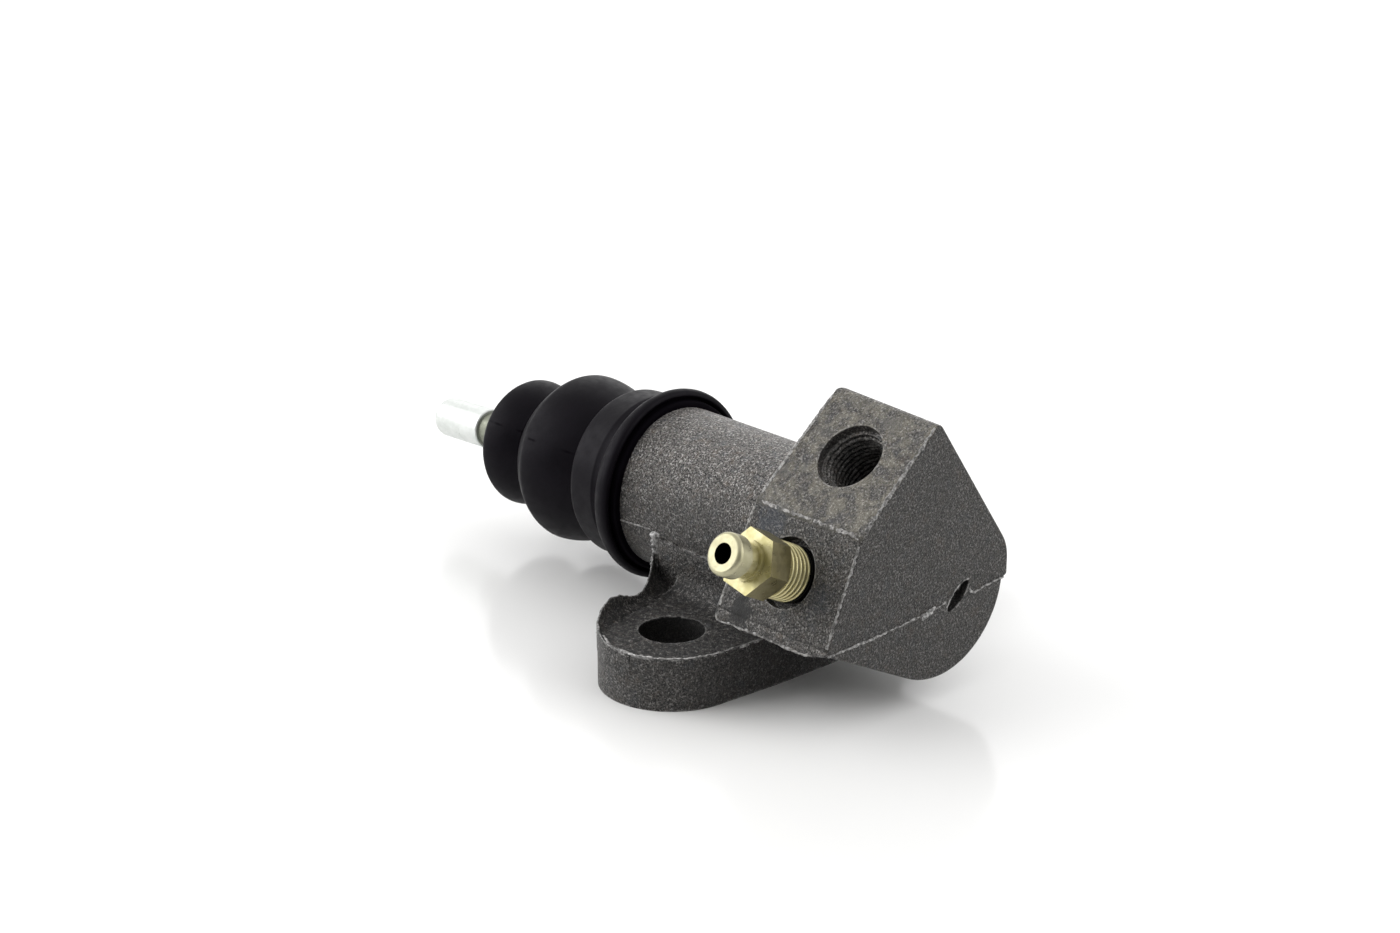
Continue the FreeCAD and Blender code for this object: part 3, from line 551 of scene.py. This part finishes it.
def rubber():
    """Moulded black rubber: satin, faintly purple, with a fine uneven skin."""
    s = Shader("boot_rubber")
    cloudy = s.span(s.noise(160.0, 3.0, 0.6), 0.35, 0.7)
    s.set(Base_Color=s.mix(cloudy, color(0.0024, 0.0018, 0.0030), color(0.0040, 0.0031, 0.0048)))
    s.set(Roughness=s.span(s.noise(500.0, 3.0), 0.3, 0.7, 0.40, 0.52))
    along = s.dot((1.0, 0.0, 0.0))
    from_axis = s.away((0, 0, AXIS_HEIGHT), s.flattened((0.0, 1.0, 1.0)))
    lip_shadow = s.times(s.span_mm(along, LIP_SHADOW_X, LIP_SHADOW_X + 0.2),
                        s.span_mm(from_axis, LIP_SHADOW_R, LIP_SHADOW_R + 0.3, 1.0, 0.0))
    off_seam = s.off_plane(Vector((0, 0, AXIS_HEIGHT)),
                           Vector((0.0, math.sin(SEAM_ANGLE), -math.cos(SEAM_ANGLE))))
    seam = s.times(s.span_mm(off_seam, 0.1, 0.3, 0.8, 0.0),
                   s.span_mm(along, SEAM_END_X, SEAM_END_X + 3.0, 1.0, 0.0))
    seam = s.times(seam, s.span(s.noise(230.0, 2.0), 0.42, 0.60))
    # less shine in the painted shadow under the lip's bead, and on the mould seam
    dull = s.math("MAXIMUM", lip_shadow, seam)
    s.set(Specular_IOR_Level=s.math("SUBTRACT", 0.092, s.times(dull, 0.080)))
    s.set(Specular_Tint=color(0.93, 0.89, 1.0))
    s.set(Normal=s.bump(s.noise(1800.0, 2.0), 0.03, 0.4))
    return s.material


def metal(name, tone, roughness):
    """A plain turned or drawn metal for what is inside."""
    s = Shader(name)
    s.set(Base_Color=s.mix(s.span(s.noise(700.0, 3.0), 0.3, 0.7), tone, darker(tone, 0.8)))
    s.set(Metallic=1.0)
    s.set(Roughness=s.span(s.noise(1500.0, 2.0), 0.3, 0.7, roughness * 0.8, roughness * 1.2))
    return s.material


IRON = cast_iron()
YELLOW_ZINC = plated("yellow_zinc", color(0.48, 0.44, 0.255), color(0.37, 0.335, 0.16), 0.34, bleeder_tone_and_shade)
BRIGHT_ZINC = plated("bright_zinc", color(0.70, 0.72, 0.70), color(0.64, 0.665, 0.64), 0.46, rod_grime)
RUBBER = rubber()
ALLOY = metal("piston_alloy", color(0.72, 0.72, 0.73), 0.3)
STEEL = metal("spring_steel", color(0.50, 0.50, 0.51), 0.3)
WORN = worn_iron("worn_iron", grey(0.08, 0.03), grey(0.40, 0.02))
BARE = worn_iron("bare_iron", grey(0.16, 0.03), grey(0.58, 0.02))
RUBBED = worn_iron("rubbed_iron", grey(0.08, 0.04), grey(0.32, 0.03))
FRACTURE = worn_iron("fractured_iron", grey(0.16, 0.02), grey(0.68, 0.01))

NODE_MATERIALS = {"cylinder_body": IRON, "bleeder_screw": YELLOW_ZINC, "push_rod": BRIGHT_ZINC,
                  "piston": ALLOY, "primary_cup": RUBBER, "secondary_seal": RUBBER,
                  "cup_spreader": STEEL, "return_spring": STEEL, "retaining_ring": STEEL,
                  "dust_boot": RUBBER}
for node_name, node_material in NODE_MATERIALS.items():
    nodes[node_name].data.materials.clear()
    nodes[node_name].data.materials.append(node_material)


# The boot, as in the source: distances from the lip plane, and radii
LIP_X = -31.5
LIP_ROOT = 4.0
LIP_INNER_R = 13.35
COLLAR_R = 15.75
FOLDS_END = 47.0
BOOT_END = 48.2
BOOT_CUFF = 2.6
CUFF_START = BOOT_END - BOOT_CUFF
CUFF_R = 3.45
SPLIT = 33.0
BOOT_WALL = 1.3
KNOTS = ((9.9, COLLAR_R), (12.9, 12.0), (24.3, 16.0), (SPLIT, 9.4), (40.2, 12.3), (FOLDS_END, 5.5))
BOOT_SINK = math.atan((BALL_X - LIP_X + BOOT_END) * math.tan(ROD_DROOP) / (BOOT_END - LIP_ROOT))

# How the boot's section bulges on a rising and a falling flank, and what rounds its ridges
RISING_POWER = 1.8
FALLING_POWER = 1.25
ROUNDING = 0.2
ROUNDING_STEPS = 3

# Where the wall thins at the crease, where the boot starts to sink, and its lip's thick near side
CREASE_THINNING = 0.35
CREASE_REACH = 2.5
SINK_START = 1.5
SINK_OVER = 5.0
NEAR_SIDE_EXTRA = 1.2
NEAR_SIDE_END = 1.8
NEAR_SIDE_OVER = 2.2

BOOT_SIDES = 160
OUTER_STEP = 0.4
INNER_STEP = 0.8

# The lip from the collar over its bead and inner ring to its inner edge
LIP_PROFILE = [(3.6, 15.3), (2.6, 15.75), (2.0, 16.2), (1.75, 16.9), (1.35, 17.55), (0.85, 17.9),
               (0.4, 18.0), (0.0, 17.97), (-0.4, 17.85), (-0.75, 17.6), (-0.9, 17.2), (-0.86, 16.85),
               (-0.6, 16.6), (-0.1, 16.45), (0.1, 16.3), (0.0, 16.14), (-0.6, 16.15), (-1.2, 16.1),
               (-1.5, 16.0), (-1.65, 15.75), (-1.7, 15.3), (-1.7, LIP_INNER_R)]

# The nose from the last fold round the cuff's end
NOSE_PROFILE = [(47.3, 5.5), (47.9, 5.45), (48.15, 5.2), (BOOT_END, 4.8), (BOOT_END, CUFF_R)]


def fold_radius(d):
    """The boot's outer radius at a distance from the lip plane."""
    if d <= KNOTS[0][0]:
        return COLLAR_R
    for (start, low), (end, high) in zip(KNOTS[:-1], KNOTS[1:]):
        if d <= end:
            share = (d - start) / (end - start)
            if high > low:
                return low + (high - low) * (1.0 - (1.0 - share) ** RISING_POWER)
            return low + (high - low) * share ** FALLING_POWER
    return KNOTS[-1][1]


def soft_radius(d):
    """The same radius with its ridges and creases a little rounded."""
    around = range(-ROUNDING_STEPS, ROUNDING_STEPS + 1)
    return sum(fold_radius(d + ROUNDING * k / ROUNDING_STEPS) for k in around) / len(around)


def outside(d):
    """A point of the boot's outside."""
    return (d, soft_radius(d))


def inside(d):
    """A point of the boot's inside, nearer to the outside in the crease where the rod swings close."""
    wall = BOOT_WALL - CREASE_THINNING * max(0.0, 1.0 - abs(d - SPLIT) / CREASE_REACH)
    return (d, soft_radius(d) - wall)


def side_points(side, start, stop, step):
    """Points of one side from start towards stop, a step apart, without stop."""
    out = []
    d = start
    while (stop - d) * step > 0.0:
        out.append(side(d))
        d += step
    return out


def boot_point(d, radius, turn):
    """A point of the boot: straight at the lip, sunk with the rod beyond it."""
    share = min(1.0, max(0.0, (d - SINK_START) / SINK_OVER))
    sink = BOOT_SINK * share * share * (3.0 - 2.0 * share)
    drop = max(0.0, d - LIP_ROOT) * math.tan(BOOT_SINK)
    y = radius * math.cos(turn)
    z = radius * math.sin(turn)
    # the lip stands thicker on the near side
    near = max(0.0, -math.cos(turn)) ** 1.5
    thick = max(0.0, min(1.0, (NEAR_SIDE_END - d) / NEAR_SIDE_OVER))
    x = LIP_X - d + NEAR_SIDE_EXTRA * near * thick
    return (x - z * math.sin(sink), y, AXIS_HEIGHT - drop + z * math.cos(sink))


def boot_piece(name, profile):
    """A closed profile of (distance, radius) points swept round the boot's line."""
    rings = []
    for j in range(BOOT_SIDES):
        angle = 2.0 * math.pi * j / BOOT_SIDES
        rings.append([boot_point(d, r, angle) for d, r in profile])
    vertices, faces = skin(rings, closed_path=True)
    return new_piece(name, vertices, faces, RUBBER, None)


def make_boot():
    """The bellows in two pieces that meet in the crease between the folds."""
    profile = side_points(outside, SPLIT, LIP_ROOT + 0.2, -OUTER_STEP) + LIP_PROFILE
    profile += [(LIP_ROOT, LIP_INNER_R), (LIP_ROOT + 0.4, COLLAR_R - BOOT_WALL)]
    profile += side_points(inside, LIP_ROOT + 1.2, SPLIT, INNER_STEP) + [inside(SPLIT)]
    front = boot_piece("boot_front", profile)
    profile = side_points(outside, SPLIT, FOLDS_END, OUTER_STEP) + NOSE_PROFILE
    profile += [(CUFF_START, CUFF_R), (CUFF_START, soft_radius(CUFF_START) - BOOT_WALL)]
    profile += side_points(inside, CUFF_START - 0.6, SPLIT + 0.3, -INNER_STEP) + [inside(SPLIT)]
    rear = boot_piece("boot_rear", profile)
    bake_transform(front)
    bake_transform(rear)
    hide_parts("dust_boot")
    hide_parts("dust_boot")


def make_spring():
    """The return spring, drawn again as its own copy that rides the housing."""
    copy = bpy.data.objects.new("spring_visual", nodes["return_spring"].data.copy())
    bpy.context.scene.collection.objects.link(copy)
    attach(copy, "housing")
    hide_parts("return_spring")
    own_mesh(copy)


# Flash across the end face: y, height below the bore's axis, width and height of the ridge
END_LEFT = ((-27.0, 4.45, 0.5, 0.16), (-22.0, 4.35, 0.45, 0.18), (-17.4, 4.25, 0.45, 0.2),
            (-12.0, 4.0, 0.4, 0.12), (-8.0, 3.75, 0.45, 0.15), (-4.6, 3.5, 0.5, 0.2),
            (-3.6, 3.45, 0.5, 0.2), (-2.4, 3.3, 0.5, 0.2), (0.0, 3.0, 0.45, 0.15), (0.9, 2.9, 0.4, 0.12))
END_LUMP = ((-5.0, 4.15, 0.6, 0.15), (-4.3, 3.95, 1.7, 0.45), (-3.4, 3.5, 2.0, 0.55),
            (-2.5, 3.1, 1.5, 0.40), (-1.8, 2.9, 0.5, 0.1))
END_RIGHT = ((6.5, 1.9, 0.4, 0.12), (7.1, 2.5, 0.5, 0.2), (7.8, 3.0, 0.5, 0.2), (9.6, 2.6, 0.42, 0.2),
             (13.0, 2.3, 0.42, 0.22), (15.4, 2.2, 0.4, 0.15))

# The rim over the void: half its length and width, degrees round it, width and height of the ridge
VOID_HALF_LENGTH = 3.35
VOID_HALF_WIDTH = 1.4
VOID_RIM_TURNS = (150, 130, 110, 90, 70, 45, 20, 0)
VOID_RIM_RIDGE = (0.35, 0.08)


def end_path(marks_across):
    """A ridge's path across the end face."""
    return [(HEAD_END_X, y, AXIS_HEIGHT - below, w, h) for y, below, w, h in marks_across]


def make_end_face_flash():
    """The mould's joint across the end face, with a lump and a break at the void."""
    out = (1, 0, 0)
    rim = []
    for turn in VOID_RIM_TURNS:
        along = VOID_HALF_LENGTH * math.cos(math.radians(turn))
        across = VOID_HALF_WIDTH * math.sin(math.radians(turn))
        y = VOID_Y + along * math.cos(VOID_LEAN) - across * math.sin(VOID_LEAN)
        below = VOID_BELOW_AXIS - along * math.sin(VOID_LEAN) - across * math.cos(VOID_LEAN)
        rim.append((y, below) + VOID_RIM_RIDGE)
    ridge("flash_end_left", end_path(END_LEFT), out, WORN, 3)
    ridge("flash_end_lump", end_path(END_LUMP), out, FRACTURE, 13)
    ridge("flash_void_rim", end_path(rim), out, WORN, 14)
    ridge("flash_end_right", end_path(END_RIGHT), out, WORN, 4)


# Where the ridges on the head's edges point: between a port face's way out and one of these
TO_THE_FACE = 0.7
TO_THE_END = Vector((0.72, 0.0, 0.0))
TO_THE_BACK = Vector((-0.7, 0.0, 0.0))

# Worn edges between the port faces and the end face: share along, width and height of the ridge
BLEEDER_EDGE = ((0.06, 0.5, 0.05), (0.3, 0.4, 0.05), (0.6, 0.45, 0.07), (0.93, 0.5, 0.08))
INLET_EDGE = ((0.05, 0.5, 0.08), (0.3, 0.6, 0.09), (0.62, 0.5, 0.08), (0.94, 0.4, 0.05))
EDGE_INSET = Vector((-0.18, 0, 0))

# The edge between the two port faces: distance from the head's back, width and height of the ridge
MIDDLE_EDGE = ((0.8, 0.8, 0.06), (8.0, 0.6, 0.08), (16.0, 0.7, 0.07), (HEAD_LEN - 0.8, 0.9, 0.08))
MIDDLE_EDGE_INSET = 0.07

# The head's back edge: x, corner and width at its three corners, and what its ridges share
BACK_CORNERS = ((10.90, FRONT_LOW, 0.35), (11.85, FRONT_HIGH, 0.45), (12.95, HEAD_TOP, 0.4))
BACK_SHARES = (0.06, 0.35, 0.7, 0.94)
BACK_HEIGHT = 0.15


def make_port_face_edges():
    """The worn edges round the head's two port faces."""
    fronts = (("edge_bleeder_face", FRONT_LOW, FRONT_HIGH, BLEEDER_EDGE, BLEEDER_FACE_OUT, 5),
              ("edge_inlet_face", FRONT_HIGH, HEAD_TOP, INLET_EDGE, INLET_AXIS, 6))
    for name, start, end, edge, face_out, seed in fronts:
        path = [tuple(start + EDGE_INSET + (end - start) * share) + (w, h) for share, w, h in edge]
        ridge(name, path, TO_THE_END + face_out * TO_THE_FACE, WORN, seed, sink=0.2, wander=0.10)
    out = INLET_AXIS + BLEEDER_FACE_OUT
    shelf = FRONT_HIGH - out.normalized() * MIDDLE_EDGE_INSET
    back_x = HEAD_END_X - HEAD_LEN
    path = [(back_x + along, shelf.y, shelf.z, w, h) for along, w, h in MIDDLE_EDGE]
    ridge("edge_between_faces", path, out, RUBBED, 7, sink=0.3, wander=0.12)
    backs = (("edge_back_bleeder", BACK_CORNERS[0], BACK_CORNERS[1], BLEEDER_FACE_OUT, 32),
             ("edge_back_inlet", BACK_CORNERS[1], BACK_CORNERS[2], INLET_AXIS, 35))
    for name, (start_x, start, width), (end_x, end, _), face_out, seed in backs:
        path = []
        for share in BACK_SHARES:
            spot = start.lerp(end, share)
            x = start_x + (end_x - start_x) * share + 0.06
            path.append((x, spot.y, spot.z, width + 0.1 * share, BACK_HEIGHT))
        ridge(name, path, TO_THE_BACK + face_out * TO_THE_FACE, BARE, seed, rough=0.5, wander=0.06)


# The near ear's rim: degrees round its end, width and height of the ridge
EAR_RIM = ((186, 0.5, 0.1), (205, 0.75, 0.12), (230, 0.85, 0.14), (260, 0.8, 0.16), (285, 0.7, 0.16),
           (310, 0.6, 0.14), (330, 0.55, 0.12), (352, 0.5, 0.10))
EAR_RIM_INSET = 0.35
EAR_RIM_SINK = 0.02


def make_ear_rim():
    """The rim of the near ear, worn pale along its top."""
    radius = EAR_END_R - EAR_RIM_INSET
    level = EAR_TOP - EAR_RIM_SINK
    path = []
    for turn, w, h in EAR_RIM:
        angle = math.radians(turn)
        path.append((radius * math.cos(angle), radius * math.sin(angle) - BOLT_SPACING / 2, level, w, h))
    path.append((EAR_END_R + 0.1, -24.0, level, 0.4, 0.08))
    path.append((EAR_END_R + 0.4, -19.0, EAR_TOP, 0.35, 0.06))
    ridge("edge_ear", path, (0, 0, 1), BARE, 12, sink=0.3, wander=0.12)


# The fin under the bleeder's face: x, how far it hangs down, and its thickness
FIN = ((10.75, 1.25, 1.0), (12.0, 1.5, 1.2), (15.5, 1.35, 1.2), (20.0, 1.2, 1.1), (26.0, 1.25, 1.1),
       (31.0, 1.35, 1.1), (33.6, 0.95, 0.9), (35.2, 0.45, 0.6), (HEAD_END_X - 0.1, 0.12, 0.4))
FIN_STEP = 0.25
FIN_ROOT = 1.6
FIN_LOW_SAMPLES = 4
FIN_RIM_END_X = 34.0
FIN_RIM_RIDGE = (0.4, 0.09)


def make_bleeder_fin():
    """A thick fin that hangs under the bleeder's face and dies out at the end face."""
    down = -polar(FRONT_RISE)
    inward = -BLEEDER_FACE_OUT
    rings = []
    rim = []
    for i, (x, drop, thick) in enumerate(resampled(FIN, FIN_STEP)):
        spot = Vector((x, FRONT_LOW.y, FRONT_LOW.z))
        drop = drop * (1.0 + jitter(spot, 0.7, 0.16, 31)) + jitter(spot, 2.3, 0.09, 32)
        if i < FIN_LOW_SAMPLES:
            drop = drop * (0.62 + 0.1 * i)
        out = 0.04 + jitter(spot, 1.1, 0.10, 33)
        section = ((-FIN_ROOT, 0.35), (-0.3, -0.3 * out), (0.55 * drop, -out),
                   (drop - 0.12, -0.6 * out), (drop, 0.18), (drop - 0.15, 0.6 * thick),
                   (0.1, 1.5 * thick), (-FIN_ROOT, 1.5 * thick + 0.6))
        rings.append([spot + down * below + inward * within for below, within in section])
        if i % 3 == 1 and x < FIN_RIM_END_X:
            rim.append(tuple(spot + down * (drop - 0.1) - inward * out * 0.6) + FIN_RIM_RIDGE)
    vertices, faces = skin(rings)
    new_piece("flash_bleeder_face", vertices, faces, IRON, "housing")
    ridge("edge_fin", rim, BLEEDER_FACE_OUT + down, WORN, 15, wander=0.06)


# Flash along the barrel: x, z, width and height of the ridge
BARREL_FLASH = ((-29.3, 18.0, 0.3, 0.12), (-26.0, 18.2, 0.4, 0.16), (-23.0, 18.5, 0.4, 0.16),
                (-20.4, 18.6, 0.45, 0.2))

# The torn fin down the pedestal's corner: x, y, z, width and height of the ridge
PEDESTAL_FLASH = ((-19.2, -14.95, 18.5, 2.0, 0.6), (-19.4, -14.9, 17.4, 1.5, 0.8),
                  (-19.4, -14.9, 16.0, 1.0, 0.5), (-19.3, -14.9, 14.0, 0.6, 0.4),
                  (-19.6, -14.9, 12.6, 0.5, 0.5), (-20.0, -15.0, 11.6, 0.4, 0.6))


def make_barrel_flash():
    """The mould's joint along the barrel, and the torn fin where it meets the pedestal."""
    path = []
    for x, z, w, h in BARREL_FLASH:
        path.append((x, -math.sqrt(BARREL_R ** 2 - (z - AXIS_HEIGHT) ** 2), z, w, h))
    ridge("flash_barrel", path, (0, -1, -0.1), WORN, 9, sink=0.2, rough=0.5)
    ridge("flash_pedestal", PEDESTAL_FLASH, (-0.55, -0.83, 0), FRACTURE, 10, sink=0.8, rough=0.5)


# The near ear's fin: x and y of its outline, the height of its top and the width of its hollow foot
EAR_FIN = ((3.2, -40.45, 9.55, 0.8), (-0.2, -40.88, 9.62, 1.0), (-3.3, -40.5, 9.75, 1.3),
           (-6.4, -39.2, 10.1, 1.7), (-9.1, -37.2, 10.9, 2.2), (-11.1, -34.5, 11.9, 2.7),
           (-12.4, -31.4, 12.5, 3.0), (-12.85, -28.6, 12.1, 3.0), (-12.9, -26.6, 11.3, 2.9),
           (-13.0, -25.0, 11.0, 2.8), (-13.4, -23.2, 11.1, 2.8), (-14.6, -21.0, 11.8, 3.0),
           (-16.4, -18.6, 12.6, 3.4), (-18.2, -16.6, 13.4, 3.8), (-19.4, -15.3, 14.6, 3.6))
EAR_FIN_STEP = 0.35
EAR_FIN_ROOT = 6.0
EAR_MIDDLE = Vector((0, -20))
LIP_RIDGE = (0.3, 0.05)


def make_ear_fin():
    """The near ear's rim, drawn up into a thin fin where the mould halves met."""
    samples = resampled(EAR_FIN, EAR_FIN_STEP)
    rings = []
    rim = []
    for i, (x, y, z, foot) in enumerate(samples):
        here = Vector((x, y))
        ahead = heading(samples, i, 2)
        inward = Vector((ahead.y, -ahead.x)).normalized()
        if inward.dot(EAR_MIDDLE - here) < 0:
            inward = -inward
        top = z + jitter((x, y, z), 0.8, 0.22, 21) + jitter((x, y, z), 2.6, 0.1, 22)
        rise = max(0.05, top - EAR_TOP)
        section = ((-0.10, EAR_FIN_ROOT), (-0.10, EAR_TOP + rise * 0.6), (-0.04, top - 0.08), (0.12, top),
                   (0.34, top - 0.1), (0.5, EAR_TOP + rise * 0.62), (0.30 * foot, EAR_TOP + rise * 0.34),
                   (0.6 * foot, EAR_TOP + rise * 0.12), (foot, EAR_TOP - 0.1), (foot, EAR_FIN_ROOT))
        rings.append([tuple(here + inward * within) + (level,) for within, level in section])
        if i % 2 == 0:
            rim.append(tuple(here + inward * 0.1) + (top,) + LIP_RIDGE)
    ridge("edge_lip", rim, (0, 0, 1), WORN, 16, sink=0.12, wander=0.02)
    vertices, faces = skin(rings)
    new_piece("flash_ear", vertices, faces, IRON, "housing")


def make_floor():
    """White glossy acrylic, endless as far as the camera sees."""
    mesh = bpy.data.meshes.new("floor")
    corners = [(FLOOR_HALF * x, FLOOR_HALF * y, 0) for x, y in ((-1, -1), (1, -1), (1, 1), (-1, 1))]
    mesh.from_pydata(corners, [], [(0, 1, 2, 3)])
    floor = bpy.data.objects.new("floor", mesh)
    bpy.context.scene.collection.objects.link(floor)
    floor.location.z = -FLOOR_DROP * MM
    s = Shader("acrylic")
    s.set(Base_Color=color(0.93, 0.928, 0.92))
    s.set(Roughness=0.15)
    s.set(IOR=1.40)
    mesh.materials.append(s.material)


def make_world():
    """A bright studio overhead and behind, darker on the camera's side, and white where it is seen."""
    world = bpy.data.worlds.new("studio")
    bpy.context.scene.world = world
    world.use_nodes = True
    tree = world.node_tree
    tree.nodes.clear()
    output = tree.nodes.new("ShaderNodeOutputWorld")
    soft = tree.nodes.new("ShaderNodeBackground")
    white = tree.nodes.new("ShaderNodeBackground")
    for background in (soft, white):
        background.inputs["Color"].default_value = color(1.0, 1.0, 1.0)
    mix = tree.nodes.new("ShaderNodeMixShader")
    path = tree.nodes.new("ShaderNodeLightPath")
    coords = tree.nodes.new("ShaderNodeTexCoord")
    dot = tree.nodes.new("ShaderNodeVectorMath")
    dot.operation = "DOT_PRODUCT"
    azimuth = math.radians(CAMERA_AZIMUTH)
    behind = Vector((-math.sin(azimuth), math.cos(azimuth), 0.0)) * WORLD_LEAN
    dot.inputs[1].default_value = (behind.x, behind.y, WORLD_RISE)
    ramp = tree.nodes.new("ShaderNodeMapRange")
    ramp.interpolation_type = "SMOOTHSTEP"
    for socket, value in ((1, -0.50), (2, 0.50), (3, WORLD_LOW), (4, WORLD_HIGH)):
        ramp.inputs[socket].default_value = value
    tree.links.new(coords.outputs["Generated"], dot.inputs[0])
    tree.links.new(dot.outputs["Value"], ramp.inputs[0])
    tree.links.new(ramp.outputs[0], soft.inputs["Strength"])
    tree.links.new(path.outputs["Is Camera Ray"], mix.inputs[0])
    tree.links.new(soft.outputs[0], mix.inputs[1])
    tree.links.new(white.outputs[0], mix.inputs[2])
    tree.links.new(mix.outputs[0], output.inputs["Surface"])


def area_light(name, place, aim, size, power):
    """A soft rectangular lamp, placed and aimed in millimetres."""
    data = bpy.data.lights.new(name, "AREA")
    data.shape = "RECTANGLE"
    data.size = size[0] * MM
    data.size_y = size[1] * MM
    data.energy = power
    lamp = bpy.data.objects.new(name, data)
    bpy.context.scene.collection.objects.link(lamp)
    lamp.location = mm(*place)
    lamp.rotation_euler = (mm(*aim) - mm(*place)).to_track_quat("-Z", "Y").to_euler()


def make_camera():
    """The photograph's viewpoint."""
    data = bpy.data.cameras.new("camera")
    data.sensor_fit = "HORIZONTAL"
    data.sensor_width = SENSOR_WIDTH
    data.lens = SENSOR_WIDTH * FOCAL_PIXELS / IMAGE_WIDTH
    data.clip_start = 0.01
    data.clip_end = 20.0
    camera = bpy.data.objects.new("camera", data)
    bpy.context.scene.collection.objects.link(camera)
    azimuth = math.radians(CAMERA_AZIMUTH)
    elevation = math.radians(CAMERA_ELEVATION)
    level = math.cos(elevation)
    back = Vector((math.sin(azimuth) * level, -math.cos(azimuth) * level, math.sin(elevation)))
    camera.location = (Vector(CAMERA_TARGET) + back * CAMERA_DISTANCE) * MM
    camera.rotation_euler = back.to_track_quat("Z", "Y").to_euler()
    bpy.context.scene.camera = camera


make_boot()
make_spring()
make_end_face_flash()
make_port_face_edges()
make_ear_rim()
make_bleeder_fin()
make_barrel_flash()
make_ear_fin()
helix("inlet_thread", INLET_MOUTH, INLET_AXIS, root_r=5.53, crest_r=5.0, low=-12.2, high=-2.1,
      body="housing", material=IRON)
helix("bleeder_thread", BLEEDER_MOUTH, BLEEDER_AXIS, root_r=THREAD_ROOT_R, crest_r=4.92, low=-2.0, high=4.9,
      body="bleeder", material=YELLOW_ZINC)

make_floor()
make_world()
for lamp_name, lamp_place, lamp_aim, lamp_size, lamp_power in LAMPS:
    area_light(lamp_name, lamp_place, lamp_aim, lamp_size, lamp_power)
make_camera()
bpy.context.scene.view_settings.view_transform = "Standard"
